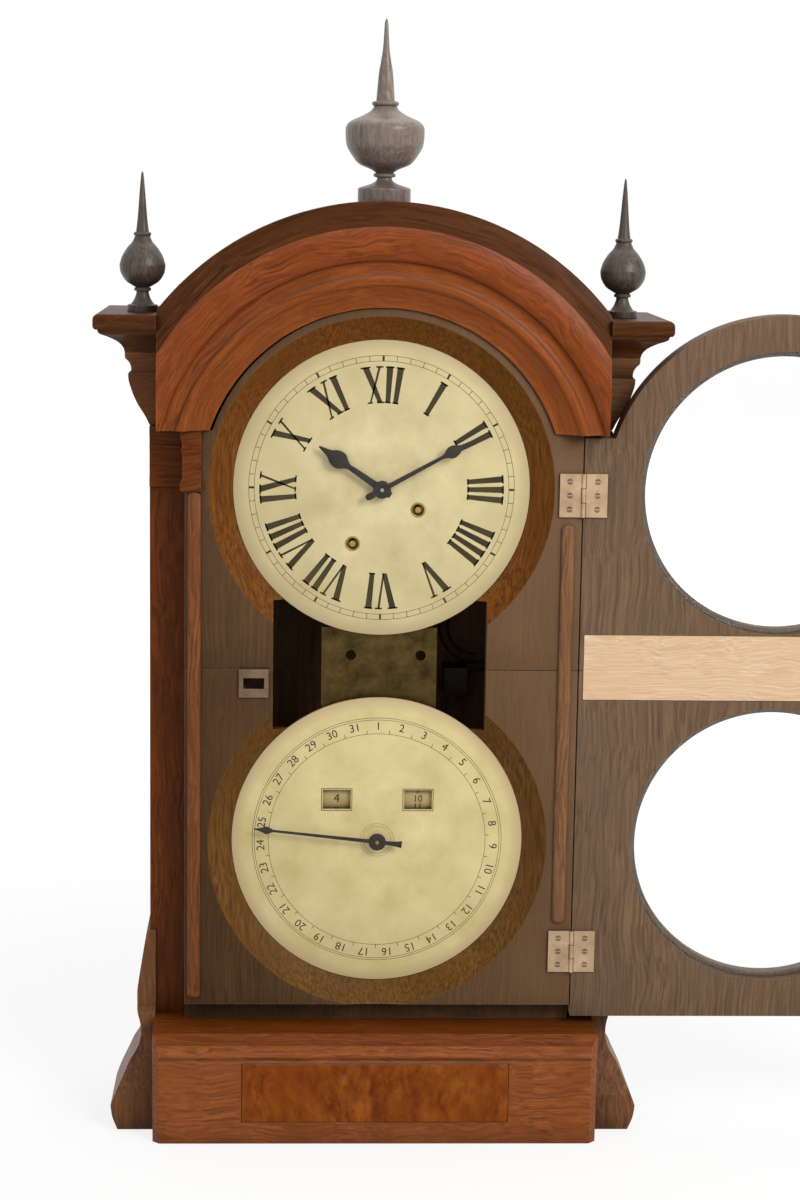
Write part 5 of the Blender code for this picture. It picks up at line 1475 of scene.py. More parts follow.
@dataclass
class Arch:
    """The moulded arch around the time dial."""

    inner: float = 0.133
    outer: float = 0.209
    proud: float = 0.016
    inner_band: float = 0.43
    outer_band: float = 0.76
    runs: tuple = (
        ((0.0, 0.125), (0.035, 0.15), (0.07, 0.21), (0.105, 0.29), (0.17, 0.50), (0.205, 0.60)),
        ((0.205, 0.60), (0.212, 0.70), (0.235, 0.79), (0.263, 0.81), (0.290, 0.79), (0.312, 0.70), (0.322, 0.60)),
        ((0.322, 0.60), (0.345, 0.565), (0.38, 0.55), (0.415, 0.565), (0.435, 0.62)),
        ((0.435, 0.62), (0.453, 0.79), (0.52, 0.95), (0.605, 1.0), (0.697, 0.93), (0.783, 0.75), (0.845, 0.56)),
        ((0.845, 0.56), (0.86, 0.56)),
        ((0.86, 0.56), (0.90, 0.43), (0.95, 0.32), (1.0, 0.25)),
    )

    def build(self) -> None:
        """Sweeps the moulding's profile round the arch and cuts its feet."""
        low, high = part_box("arch_moulding")
        spot = frame_spot("minute_turn")
        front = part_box("upper_front_board")[0].y
        width = self.outer - self.inner
        face = [(self.inner + across * width, rise * self.proud) for across, rise in smooth_runs(self.runs, 4)]
        back = front - high.y
        profile = [*face, (self.outer, back), (self.inner, back)]
        piece = turned("arch_moulding_fine", profile, (0, front, spot.z), Turn.FRONT, ROUND_STEPS * 2)
        clip = block(
            "clip_tool", (low.x, low.y - PAST, low.z), (high.x, high.y + PAST, high.z + PAST), 0
        )
        shaped(piece, clip, "INTERSECT")
        dress(piece, "case", ARCH_FACE.material(Grain.AROUND, spot), ["arch_moulding"], 28.0, even=False)

        def share(middle: Vector) -> float:
            """How far across the moulding a face lies, from 0 inside to 1 outside."""
            return (math.hypot(middle.x, middle.z - spot.z) - self.inner) / width

        stained(piece, ARCH_INNER.material(Grain.AROUND, spot), lambda middle: share(middle) < self.inner_band)
        # Painted shade: the outer fall of the moulding takes the dark cap wood.
        stained(piece, CAP.material(Grain.AROUND, spot), lambda middle: share(middle) > self.outer_band)


@dataclass
class Corners:
    """Imposts, corbels and caps at both sides of the arch."""

    corbel_runs: tuple = (
        ((0.0, 0.0), (0.18, 0.12), (0.47, 0.27), (0.71, 0.43), (0.88, 0.60), (0.91, 0.70)),
        ((0.91, 0.70), (0.78, 0.74), (0.76, 0.80), (0.84, 0.87), (1.0, 0.93), (1.0, 1.0)),
    )
    corbel_front: tuple = (
        ((0.0, 0.0), (0.12, 0.27), (0.20, 0.60), (0.22, 0.71)),
        ((0.22, 0.71), (0.50, 0.78), (0.85, 0.91), (1.0, 1.0)),
    )
    cap_runs: tuple = (
        ((0.44, 0.0), (0.47, 0.13), (0.56, 0.27), (0.72, 0.40), (0.88, 0.50), (0.92, 0.60)),
        ((0.92, 0.60), (0.97, 0.62), (1.0, 0.70), (1.0, 0.86), (0.98, 0.95), (0.93, 1.0)),
    )
    impost_return: float = 0.003
    impost_runs: tuple = (
        ((0.0, 0.70), (0.02, 0.95), (0.05, 1.0), (0.12, 1.0), (0.15, 0.95), (0.17, 0.70)),
        ((0.17, 0.70), (0.19, 0.50), (0.22, 0.42), (0.30, 0.40)),
        ((0.30, 0.40), (0.62, 0.40)),
        ((0.62, 0.40), (0.64, 0.66), (0.67, 0.80), (0.70, 0.66), (0.72, 0.44)),
        ((0.72, 0.44), (0.78, 0.50), (0.84, 0.70), (0.88, 0.95)),
        ((0.88, 0.95), (0.90, 1.0), (1.0, 1.0)),
    )

    def build(self) -> None:
        """Makes both corners."""
        for side, sign in (("left", -1), ("right", 1)):
            # The right corbel takes a lighter copy of the wood: painted light.
            block_wood = BROWN_CASE if sign < 0 else RIGHT_LIT_WOOD
            self.corner(f"{side}_corbel", self.corbel_runs, self.corbel_front, sign, block_wood)
            self.corner(f"{side}_cap", self.cap_runs, self.cap_runs, sign, CAP)
            self.impost(side, sign)

    def impost(self, side: str, sign: int) -> None:
        """One banded impost; the left one also wraps the corner of the projecting front.

        Args:
            side: left or right.
            sign: -1 for left, 1 for right.
        """
        node = f"{side}_impost"
        low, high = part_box(node)
        right_low, right_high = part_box("right_impost")
        board_low, board_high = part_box("upper_front_board")
        front_deep = right_high.y - right_low.y
        body = board_high.x + HAIR
        front = board_low.y - HAIR
        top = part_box("arch_moulding")[0].z - HAIR
        work = bmesh.new()
        rings = []
        for up, proud in smooth_runs(self.impost_runs, 3):
            face = right_high.y - front_deep * proud
            if sign > 0:
                plan = [(high.x, face), (body, face), (body, high.y), (high.x, high.y)]
            else:
                out = body + self.impost_return * proud
                forward = front - (front - low.y) * proud
                plan = [(low.x, face), (-out, face), (-out, forward), (high.x, forward)]
                plan += [(high.x, front), (-body, front), (-body, high.y), (low.x, high.y)]
            height = low.z + (top - low.z) * up
            rings.append([work.verts.new((across, depth, height)) for across, depth in plan])
        for lower, upper in zip(rings, rings[1:]):
            for index in range(len(lower)):
                after = (index + 1) % len(lower)
                work.faces.new((lower[index], lower[after], upper[after], upper[index]))
        work.faces.new(rings[0])
        work.faces.new(rings[-1])
        piece = mesh_of(f"{node}_moulded", work)
        dress(piece, "case", DARK_CASE.material(Grain.ACROSS), [node], 28.0, even=False)

    def corner(self, node: str, side_runs: tuple, front_runs: tuple, sign: int, wood: Wood) -> None:
        """One moulded block at the case's corner.

        Args:
            node: The node that it stands for.
            side_runs: Shares of its outline towards the side.
            front_runs: Shares of its outline towards the front.
            sign: -1 for left, 1 for right.
            wood: Its finish.
        """
        low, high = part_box(node)
        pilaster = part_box("left_pilaster")
        case = abs(pilaster[0].x)
        face = pilaster[0].y
        inner = min(abs(low.x), abs(high.x))
        tall = high.z - low.z
        reach = max(abs(low.x), abs(high.x)) - case
        sides = [(case + share * reach, low.z + up * tall) for share, up in smooth_runs(side_runs)]
        across = [(inner, low.z), *sides, (inner, high.z)]
        across = across if sign > 0 else mirrored(across)
        front_reach = face - low.y
        depth = [(face - share * front_reach, low.z + up * tall) for share, up in smooth_runs(front_runs)]
        depth += [(high.y, high.z), (high.y, low.z)]
        piece = extruded(f"{node}_moulded", across, low.y - PAST, high.y + PAST, "Y", 0)
        ends = sorted((sign * (inner - PAST), sign * (case + reach + PAST)))
        shaped(piece, extruded("corner_tool", depth, ends[0], ends[1], "X", 0), "INTERSECT")
        dress(piece, "case", wood.material(Grain.ACROSS), [node], 28.0, even=False)


@dataclass
class Finials:
    """The tall finial on the roof and the two small ones on the caps."""

    centre_runs: tuple = (
        ((0.0, 1.0), (0.035, 0.985), (0.05, 0.96), (0.08, 0.85), (0.13, 0.775), (0.18, 0.71), (0.235, 0.57)),
        ((0.235, 0.57), (0.33, 0.562), (0.34, 0.550), (0.29, 0.540)),
        ((0.29, 0.540), (0.36, 0.518), (0.56, 0.492), (0.86, 0.463), (0.985, 0.434), (1.0, 0.390)),
        ((1.0, 0.390), (0.965, 0.332), (0.83, 0.281), (0.655, 0.237), (0.345, 0.208), (0.22, 0.190)),
        ((0.22, 0.190), (0.28, 0.184), (0.28, 0.172), (0.19, 0.166)),
        ((0.19, 0.166), (0.21, 0.150), (0.31, 0.135), (0.55, 0.118)),
        ((0.55, 0.118), (0.66, 0.108), (0.67, 0.085), (0.67, 0.0)),
    )
    side_runs: tuple = (
        ((0.0, 1.0), (0.045, 0.985), (0.07, 0.95), (0.13, 0.84), (0.17, 0.75), (0.215, 0.66), (0.28, 0.57)),
        ((0.28, 0.57), (0.37, 0.562), (0.38, 0.548), (0.33, 0.538)),
        ((0.33, 0.538), (0.45, 0.495), (0.66, 0.456), (0.89, 0.394), (1.0, 0.333)),
        ((1.0, 0.333), (0.95, 0.276), (0.74, 0.219), (0.47, 0.188), (0.30, 0.172)),
        ((0.30, 0.172), (0.37, 0.165), (0.37, 0.150), (0.27, 0.144)),
        ((0.27, 0.144), (0.28, 0.125), (0.36, 0.088), (0.50, 0.052)),
        ((0.50, 0.052), (0.64, 0.046), (0.66, 0.036), (0.66, 0.0)),
    )

    def build(self) -> None:
        """Turns all three."""
        self.one("left_finial", self.side_runs, SIDE_FINIAL)
        self.one("right_finial", self.side_runs, SIDE_FINIAL)
        centre = self.one("centre_finial", self.centre_runs, FINIAL)
        self.saddle(centre)

    def one(self, node: str, runs: tuple, wood: Wood) -> bpy.types.Object:
        """One turned finial.

        Args:
            node: The node that it stands for.
            runs: Shares of its profile.
            wood: Its finish.

        Returns:
            The piece.
        """
        low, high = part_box(node)
        radius = (high.x - low.x) / 2
        profile = scaled(smooth_runs(runs, 5), radius, high.z - low.z)
        profile.append((0.0, 0.0))
        spot = ((low.x + high.x) / 2, (low.y + high.y) / 2, low.z)
        piece = turned(f"{node}_turned", profile, spot, Turn.UP)
        return dress(piece, "case", wood.material(Grain.UPRIGHT), [node], 40.0, even=False)

    def saddle(self, piece: bpy.types.Object) -> None:
        """Hollows the tall finial's foot to sit on the round roof.

        Args:
            piece: The tall finial.
        """
        centre = frame_spot("minute_turn").z
        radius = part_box("roof_shell")[1].z - centre + HAIR
        low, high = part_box("roof_shell")
        profile = [(0, -low.y), (radius, -low.y), (radius, -high.y), (0, -high.y)]
        parent = piece.parent
        piece.parent = None
        shaped(piece, turned("saddle_tool", profile, (0, 0, centre), Turn.FRONT, ROUND_STEPS * 2))
        piece.parent = parent
        piece.data.shade_smooth()
        piece.data.set_sharp_from_angle(angle=math.radians(40))


@dataclass
class Figures:
    """Black figures that lie on a dial: strokes in the dial's own polar layout."""

    front: float
    centre: float
    thick: float = 0.00006

    def __post_init__(self) -> None:
        """Opens the mesh work."""
        self.work = bmesh.new()

    def spot(self, angle: float, reach: float, lift: float) -> Spot:
        """A place on the dial.

        Args:
            angle: Clockwise from upright, in radians.
            reach: The distance from the dial's middle.
            lift: How far it stands off the dial.

        Returns:
            The place in the clock's own axes.
        """
        return reach * math.sin(angle), self.front - lift, self.centre + reach * math.cos(angle)

    def shape(self, corners: Sequence[tuple[float, float]]) -> None:
        """A flat closed shape.

        Args:
            corners: Angle and reach of each corner, in order round it.
        """
        top = [self.work.verts.new(self.spot(angle, reach, self.thick)) for angle, reach in corners]
        under = [self.work.verts.new(self.spot(angle, reach, 0.00001)) for angle, reach in corners]
        self.work.faces.new(top)
        self.work.faces.new(list(reversed(under)))
        for index in range(len(top)):
            after = (index + 1) % len(top)
            self.work.faces.new((top[after], top[index], under[index], under[after]))

    def ring(self, inner: float, outer: float, steps: int = ROUND_STEPS) -> None:
        """A thin printed ring.

        Args:
            inner: Its inner radius.
            outer: Its outer radius.
            steps: Steps for a full turn.
        """
        profile = [(inner, 0.00001), (outer, 0.00001), (outer, self.thick), (inner, self.thick)]
        lathe_into(self.work, profile, (0, self.front, self.centre), Turn.FRONT, steps)

    def tick(self, angle: float, inner: float, outer: float, half: float) -> None:
        """A short mark that points at the dial's middle.

        Args:
            angle: Clockwise from upright.
            inner: Where it starts.
            outer: Where it ends.
            half: Half its width.
        """
        side = half / outer
        self.shape([(angle - side, inner), (angle - side, outer), (angle + side, outer), (angle + side, inner)])

    def finish(self, name: str) -> bpy.types.Object:
        """Closes the mesh work.

        Args:
            name: The piece's name.

        Returns:
            The piece.
        """
        piece = mesh_of(name, self.work)
        return dress(piece, "case", INK.material(), sharp=20.0, even=False)


@dataclass
class Roman:
    """Roman figures with thick and thin strokes and slab feet."""

    inner: float = 0.0630
    tall: float = 0.0270
    thick: float = 0.15
    thin: float = 0.055
    serif: float = 0.045
    widths: tuple = (("I", 0.25), ("V", 0.56), ("X", 0.56))
    hours: tuple = ("XII", "I", "II", "III", "IIII", "V", "VI", "VII", "VIII", "IX", "X", "XI")

    def draw(self, figures: Figures) -> None:
        """Draws the twelve hours.

        Args:
            figures: Where they are drawn.
        """
        widths = dict(self.widths)
        for hour, word in enumerate(self.hours):
            total = sum(widths[letter] for letter in word)
            left = -total / 2
            for letter in word:
                self.letter(figures, letter, left, widths[letter], math.tau * hour / len(self.hours))
                left += widths[letter]

    def letter(self, figures: Figures, letter: str, left: float, width: float, hour: float) -> None:
        """Draws one letter.

        Args:
            figures: Where it is drawn.
            letter: I, V or X.
            left: The left side of its cell, as a share of its height.
            width: The cell's width.
            hour: The hour's angle.
        """
        middle = left + width / 2
        lean = width / 2 - self.thick * 0.75
        if letter == "I":
            strokes = [(middle, middle, self.thick)]
            feet = [(middle, 0.0, width * 0.40), (middle, 1.0, width * 0.40)]
        elif letter == "V":
            strokes = [(middle - lean, middle, self.thick), (middle + lean, middle + self.thin / 2, self.thin)]
            feet = [(middle - lean, 1.0, width * 0.21), (middle + lean, 1.0, width * 0.15)]
        else:
            strokes = [(middle - lean, middle + lean, self.thick), (middle + lean, middle - lean, self.thin)]
            feet = [(middle - lean, 1.0, width * 0.21), (middle + lean, 1.0, width * 0.15)]
            feet += [(middle + lean, 0.0, width * 0.21), (middle - lean, 0.0, width * 0.15)]
        for top, bottom, stroke in strokes:
            half = stroke / 2
            self.stroke(figures, [(top - half, 1), (top + half, 1), (bottom + half, 0), (bottom - half, 0)], hour)
        for across, height, half in feet:
            rise = self.serif if height == 0 else -self.serif
            corners = [(across - half, height), (across + half, height)]
            corners += [(across + half, height + rise), (across - half, height + rise)]
            self.stroke(figures, corners, hour)

    def stroke(self, figures: Figures, corners: Sequence[Point], hour: float) -> None:
        """Draws one stroke, fanned round the dial.

        Args:
            figures: Where it is drawn.
            corners: Across and up, as shares of the letter's height.
            hour: The hour's angle.
        """
        middle = self.inner + self.tall / 2
        figures.shape([(hour + x * self.tall / middle, self.inner + y * self.tall) for x, y in corners])


def number_shapes(text: str, size: float) -> bpy.types.Mesh:
    """A plain number as a flat mesh with a thickness, centred on its own middle.

    Args:
        text: The number.
        size: Its letter height.

    Returns:
        The mesh: across is X, up is Y.
    """
    curve = bpy.data.curves.new("number", "FONT")
    curve.body = text
    curve.size = size
    curve.extrude = 0.00003
    curve.resolution_u = 3
    curve.align_x = "CENTER"
    curve.align_y = "CENTER"
    holder = bpy.data.objects.new("number", curve)
    bpy.context.scene.collection.objects.link(holder)
    bpy.context.view_layer.update()
    mesh = bpy.data.meshes.new_from_object(holder.evaluated_get(bpy.context.evaluated_depsgraph_get()))
    bpy.data.objects.remove(holder, do_unlink=True)
    bpy.data.curves.remove(curve)
    return mesh


@dataclass
class Dials:
    """Both dials, their figures, the rollers behind the windows and the three hands."""

    track_inner: float = 0.0935
    track_outer: float = 0.0975
    line: float = 0.0003
    date_reach: float = 0.0873
    date_size: float = 0.0086
    weekday_size: float = 0.0095
    month_size: float = 0.0072
    minute_runs: tuple = (
        ((0.30, -0.16), (0.50, -0.14), (0.55, -0.11), (0.46, -0.04), (0.40, 0.05), (0.34, 0.35), (0.28, 0.60)),
        ((0.28, 0.60), (0.50, 0.635), (0.92, 0.67), (1.0, 0.705), (0.80, 0.745), (0.42, 0.785), (0.26, 0.84)),
        ((0.26, 0.84), (0.16, 0.92), (0.08, 1.0)),
    )
    hour_runs: tuple = (
        ((0.30, -0.14), (0.42, -0.10), (0.42, 0.0), (0.36, 0.30), (0.30, 0.52)),
        ((0.30, 0.52), (0.50, 0.57), (0.92, 0.64), (1.0, 0.70), (0.84, 0.77), (0.48, 0.83), (0.30, 0.90)),
        ((0.30, 0.90), (0.18, 0.96), (0.08, 1.0)),
    )
    date_runs: tuple = (
        ((0.9, -0.20), (0.62, -0.15), (0.5, -0.08), (0.5, 0.0), (0.35, 0.5), (0.30, 0.84)),
        ((0.30, 0.84), (0.52, 0.86), (0.9, 0.885), (0.9, 0.905), (0.40, 0.95), (0.1, 1.0)),
    )

    def build(self) -> None:
        """Makes dials, figures, rollers and hands."""
        self.time_dial()
        self.calendar_dial()
        self.rollers()
        self.hand("minute_hand", "minute", "minute_turn", self.minute_runs, 0.084, 0.0045, 61)
        self.hand("hour_hand", "hour", "minute_turn", self.hour_runs, 0.056, 0.0065, 304)
        self.hand("date_hand", "date", "date_turn", self.date_runs, 0.093, 0.003, 276)

    def plate(self, node: str, name: str, centre: float, holes: Sequence[tuple], paint: Paint) -> bpy.types.Object:
        """A painted dial with a soft edge and its holes.

        Args:
            node: The node that it stands for.
            name: The piece's name.
            centre: The height of its middle.
            holes: Across, up and radius of each hole, from the middle.
            paint: Not used; the caller gives the piece its finish.

        Returns:
            The piece, not yet dressed.
        """
        low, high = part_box(node)
        radius = (high.x - low.x) / 2
        thick = high.y - low.y
        edge = 0.0005
        profile = [(0, 0), (radius - edge, 0), (radius - edge * 0.3, -edge * 0.3), (radius, -edge)]
        profile += [(radius, -thick), (0, -thick)]
        piece = turned(name, profile, (0, low.y, centre), Turn.FRONT, ROUND_STEPS)
        for across, up, size in holes:
            tool = [(0, PAST), (size, PAST), (size, -thick - PAST), (0, -thick - PAST)]
            shaped(piece, turned("hole_tool", tool, (across, low.y, centre + up), Turn.FRONT, SMALL_STEPS))
        return piece

    def time_dial(self) -> None:
        """The time dial with its hours, minute track, and brass rings in the winding holes."""
        low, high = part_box("time_dial")
        spot = frame_spot("minute_turn")
        holes = [(0.0, 0.0, 0.0045)]
        for joint in ("time_winding_turn", "strike_winding_turn"):
            arbor = frame_spot(joint)
            holes.append((arbor.x, arbor.z - spot.z, 0.0045))
        piece = self.plate("time_dial", "time_dial_painted", spot.z, holes, TIME_PAINT)
        dress(piece, "case", TIME_PAINT.material(spot), ["time_dial"], even=False)
        figures = Figures(low.y, spot.z)
        Roman().draw(figures)
        for reach in (self.track_inner, self.track_outer):
            figures.ring(reach, reach + self.line)
        for minute in range(60):
            half = 0.0008 if minute % 5 == 0 else 0.0002
            figures.tick(math.tau * minute / 60, self.track_inner, self.track_outer, half)
        figures.finish("time_dial_figures")
        rings = bmesh.new()
        for across, up, size in holes:
            profile = [(size, 0.0), (size, 0.0002), (size + 0.0003, 0.0004), (size + 0.0009, 0.0003)]
            profile += [(size + 0.0011, 0.00005)]
            lathe_into(rings, profile, (across, low.y, spot.z + up), Turn.FRONT, SMALL_STEPS)
        dress(mesh_of("winding_hole_rings", rings), "case", BRASS.material(), even=False)

    def calendar_dial(self) -> None:
        """The calendar dial with its dates and the frames of its windows."""
        low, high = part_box("calendar_dial")
        spot = frame_spot("date_turn")
        piece = self.plate("calendar_dial", "calendar_dial_painted", spot.z, [(0, 0, 0.0045)], CALENDAR_PAINT)
        figures = Figures(low.y, spot.z)
        for joint in ("weekday_turn", "month_turn"):
            roller = frame_spot(joint)
            half, tall = 0.0105, 0.0075
            window = block(
                "window_tool",
                (roller.x - half, low.y - PAST, roller.z - tall),
                (roller.x + half, high.y + PAST, roller.z + tall),
                0,
            )
            shaped(piece, window)
            self.frame_line(figures, roller, half + 0.0006, tall + 0.0006)
        dress(piece, "case", CALENDAR_PAINT.material(spot), ["calendar_dial"], even=False)
        for reach in (0.0815, 0.0920, 0.0936):
            figures.ring(reach, reach + self.line)
        for day in range(31):
            angle = math.tau * day / 31
            figures.tick(angle + math.pi / 31, 0.0815, 0.0845, 0.0002)
            self.date(figures, str(day + 1), angle)
        for reach in (0.0105, 0.0125):
            figures.ring(reach, reach + 0.0002, SMALL_STEPS * 2)
        figures.finish("calendar_dial_figures")

    def frame_line(self, figures: Figures, middle: Vector, half: float, tall: float) -> None:
        """A printed line round a window.

        Args:
            figures: Where it is drawn.
            middle: The window's middle.
            half: Half its width.
            tall: Half its height.
        """
        wide = 0.0005
        bars = [((-half - wide, tall), (half + wide, tall + wide)), ((-half - wide, -tall - wide), (half + wide, -tall))]
        bars += [((-half - wide, -tall), (-half, tall)), ((half, -tall), (half + wide, tall))]
        for low, high in bars:
            corners = []
            for across, up in ((low[0], low[1]), (low[0], high[1]), (high[0], high[1]), (high[0], low[1])):
                x, z = middle.x + across, middle.z + up - figures.centre
                corners.append((math.atan2(x, z), math.hypot(x, z)))
            figures.shape(corners)

    def date(self, figures: Figures, text: str, angle: float) -> None:
        """One date, upright from the dial's middle.

        Args:
            figures: Where it is drawn.
            text: The date.
            angle: Clockwise from upright.
        """
        mesh = number_shapes(text, self.date_size)
        spin = Matrix.Rotation(angle, 4, "Y")
        lift = Matrix.Translation((0, figures.front - 0.00004, figures.centre))
        mesh.transform(lift @ spin @ Matrix.Translation((0, 0, self.date_reach)) @ Matrix.Rotation(math.pi / 2, 4, "X"))
        figures.work.from_mesh(mesh)
        bpy.data.meshes.remove(mesh)

    def rollers(self) -> None:
        """The weekday and month rollers with plain numbers round them."""
        for node, count, body, first in (("weekday_roller", 7, "weekday", 4), ("month_roller", 12, "month", 10)):
            low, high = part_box(node)
            middle = (low + high) / 2
            radius = (high.z - low.z) / 2
            half = (high.x - low.x) / 2
            drum = 0.011
            profile = [(0, half), (0.0012, half), (0.0012, drum), (radius - 0.0004, drum), (radius, drum - 0.0004)]
            profile += [(across, -up) for across, up in reversed(profile)]
            piece = turned(f"{node}_paper", profile, middle, Turn.SIDE)
            dress(piece, body, PAPER.material(), [node], even=False)
            work = bmesh.new()
            for number in range(count):
                size = self.month_size if body == "month" else self.weekday_size
                mesh = number_shapes(str((number + first - 1) % count + 1), size)
                spin = Matrix.Rotation(math.tau * number / count, 4, "X")
                out = Matrix.Translation((0, -radius - 0.00003, 0)) @ Matrix.Rotation(math.pi / 2, 4, "X")
                mesh.transform(Matrix.Translation(middle) @ spin @ out)
                work.from_mesh(mesh)
                bpy.data.meshes.remove(mesh)
            dress(mesh_of(f"{body}_numbers", work), body, INK.material(), even=False)

    def hand(self, node: str, body: str, joint: str, runs: tuple, length: float, half: float, turn: float) -> None:
        """One hand with its round eye and a collet.

        Args:
            node: The node that it stands for.
            body: The body that it rides on.
            joint: The joint that gives its axis.
            runs: Shares of half its outline.
            length: From its axis to its tip.
            half: Half its greatest width.
            turn: Degrees clockwise from upright.
        """
        low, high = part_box(node)
        centre = frame_spot(joint).z
        right = scaled(smooth_runs(runs), half, length)
        points = right + [(-across, up) for across, up in reversed(right)]
        angle = math.radians(turn)
        cos, sin = math.cos(angle), math.sin(angle)
        outline = [(x * cos + z * sin, centre + z * cos - x * sin) for x, z in points]
        back = low.y + 0.001
        piece = extruded(f"{node}_fine", outline, low.y, back, "Y", 0.00015)
        eye = [(0.0019, 0.0), (0.0058, 0.0), (0.0065, -0.0003), (0.0065, -0.0010), (0.0019, -0.0010)]
        if node == "hour_hand":
            eye = [*eye[:-1], (0.0028, -0.0010), (0.0028, low.y - high.y), (0.0019, low.y - high.y)]
        shaped(piece, turned("eye_tool", eye, (0, low.y, centre), Turn.FRONT, TURNED_STEPS), "UNION")
        bore = [(0, PAST), (0.00185, PAST), (0.00185, low.y - high.y - PAST), (0, low.y - high.y - PAST)]
        shaped(piece, turned("bore_tool", bore, (0, low.y, centre), Turn.FRONT, SMALL_STEPS))
        dress(piece, body, HAND.material(), [node], even=False)


@dataclass
class Door:
    """The open door: frames, cleat, panes, hinges with their screws, and the latch."""

    window: float = 0.101
    rebate: float = 0.105
    rebate_depth: float = 0.0083
    cove: float = 0.0055
    screw: float = 0.0023
    leaf_face: float = 0.0002

    def build(self) -> None:
        """Makes every piece of the door."""
        self.frame("upper", "minute_turn")
        self.frame("lower", "date_turn")
        self.cleat()
        for level, joint in (("upper", "minute_turn"), ("lower", "date_turn")):
            self.pane(level, frame_spot(joint).z)
        self.hinges()
        coat_node("door_latch", HINGE.material())
        eased_node("latch_keeper", WORN_PLATE.material(), 0.0002)

    def middle(self) -> float:
        """The middle of the door's width."""
        low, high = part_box("door_upper_frame")
        return (low.x + high.x) / 2

    def frame(self, level: str, joint: str) -> None:
        """One half of the door, with its round window moulded on the outer side.

        Args:
            level: upper or lower.
            joint: The joint that gives the window's height.
        """
        node = f"door_{level}_frame"
        low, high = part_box(node)
        centre = frame_spot(joint).z
        middle = self.middle()
        if level == "upper":
            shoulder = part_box("left_impost")[1].z
            outline = arched(low.x, high.x, low.z, shoulder, high.z - centre, centre)
        else:
            outline = [(low.x, low.z), (high.x, low.z), (high.x, high.z), (low.x, high.z)]
        piece = extruded(f"door_{level}_fine", outline, low.y, high.y, "Y", EDGE)
        thick = high.y - low.y
        profile = [(0, PAST), (self.rebate, PAST), (self.rebate, -self.rebate_depth)]
        profile += [(self.window, -self.rebate_depth), (self.window, -thick + self.cove)]
        for index in range(1, 7):
            turn = math.pi / 2 * index / 6
            out = self.cove * (1 - math.cos(turn)) * 1.2
            profile.append((self.window + out, -thick + self.cove * (1 - math.sin(turn))))
        outer = profile[-1][0] + 0.0012
        profile += [(outer, -thick), (outer, -thick - PAST), (0, -thick - PAST)]
        shaped(piece, turned("window_tool", profile, (middle, low.y, centre), Turn.FRONT, ROUND_STEPS))
        cleat_low, cleat_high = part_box("door_cleat")
        room = block(
            "cleat_tool",
            (cleat_low.x - HAIR, low.y - PAST, cleat_low.z - HAIR),
            (cleat_high.x + HAIR, cleat_high.y + HAIR, cleat_high.z + HAIR),
            0,
        )
        shaped(piece, room)
        if level == "lower":
            shaped(piece, self.spindle_way())
        dress(piece, "door", DOOR_INNER.material(Grain.UPRIGHT), [node], even=False)
        # Painted light: the hinge-side edge face takes a pale wood with no corner shade.
        stained(piece, LIT_DOOR_EDGE.material(Grain.UPRIGHT), lambda middle: middle.x < low.x + EDGE / 2)
        stained(piece, CASE.material(Grain.UPRIGHT), lambda middle: middle.y > high.y - self.cove)

    def spindle_way(self) -> bpy.types.Object:
        """The tool that bores the latch's way through the door."""
        low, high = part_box("door_lower_frame")
        latch = frame_spot("latch_turn")
        profile = [(0, PAST), (0.0032, PAST), (0.0032, low.y - high.y - PAST), (0, low.y - high.y - PAST)]
        return turned("spindle_tool", profile, (latch.x, low.y, latch.z), Turn.FRONT, SMALL_STEPS)

    def cleat(self) -> None:
        """The pale cleat across the joint of the two halves."""
        low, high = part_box("door_cleat")
        piece = block("door_cleat_planed", low, high, EDGE)
        shaped(piece, self.spindle_way())
        dress(piece, "door", PALE.material(Grain.ACROSS), ["door_cleat"])

    def pane(self, level: str, centre: float) -> None:
        """One round pane with a ground edge.

        Args:
            level: upper or lower.
            centre: The height of its middle.
        """
        low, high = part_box(f"{level}_pane")
        radius = (high.x - low.x) / 2
        thick = high.y - low.y
        edge = 0.0003
        profile = [(0, 0), (radius - edge, 0), (radius, -edge), (radius, -thick + edge), (radius - edge, -thick)]
        profile.append((0, -thick))
        piece = turned(f"{level}_pane_clear", profile, (self.middle(), low.y, centre), Turn.FRONT, ROUND_STEPS)
        dress(piece, "door", PANE.material(), [f"{level}_pane"], even=False)

    def hinges(self) -> None:
        """The hinge leaves, with three slotted screws in each."""
        for level in ("upper", "lower"):
            for kind, body in (("case", "case"), ("door", "door")):
                node = f"{level}_{kind}_leaf"
                eased_node(node, HINGE.material(), 0.0002)
                low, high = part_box(node)
                pin = frame_spot("door_swing")
                outer = low.x if abs(low.x - pin.x) > abs(high.x - pin.x) else high.x
                across = outer + (pin.x - outer) * 0.42
                work = bmesh.new()
                for share in (0.18, 0.5, 0.82):
                    height = low.z + (high.z - low.z) * share
                    self.screw_into(work, (across, pin.y + self.leaf_face, height))
                piece = mesh_of(f"{node}_screws", work)
                dress(piece, body, SCREW.material(), even=False)

    def screw_into(self, work: bmesh.types.BMesh, spot: Spot) -> None:
        """Adds one flush screw head with a cut slot.

        Args:
            work: The mesh work.
            spot: The middle of its face.
        """
        radius = self.screw
        slot = radius * 0.16
        for sign in (-1, 1):
            start = math.asin(slot / radius)
            points = arc(radius, start, math.pi - start, 12)
            near = [work.verts.new((spot[0] + x, spot[1] - 0.00008, spot[2] + sign * z)) for x, z in points]
            far = [work.verts.new((spot[0] + x, spot[1] + 0.0008, spot[2] + sign * z)) for x, z in points]
            work.faces.new(near)
            work.faces.new(list(reversed(far)))
            for index in range(len(near)):
                after = (index + 1) % len(near)
                work.faces.new((near[after], near[index], far[index], far[after]))


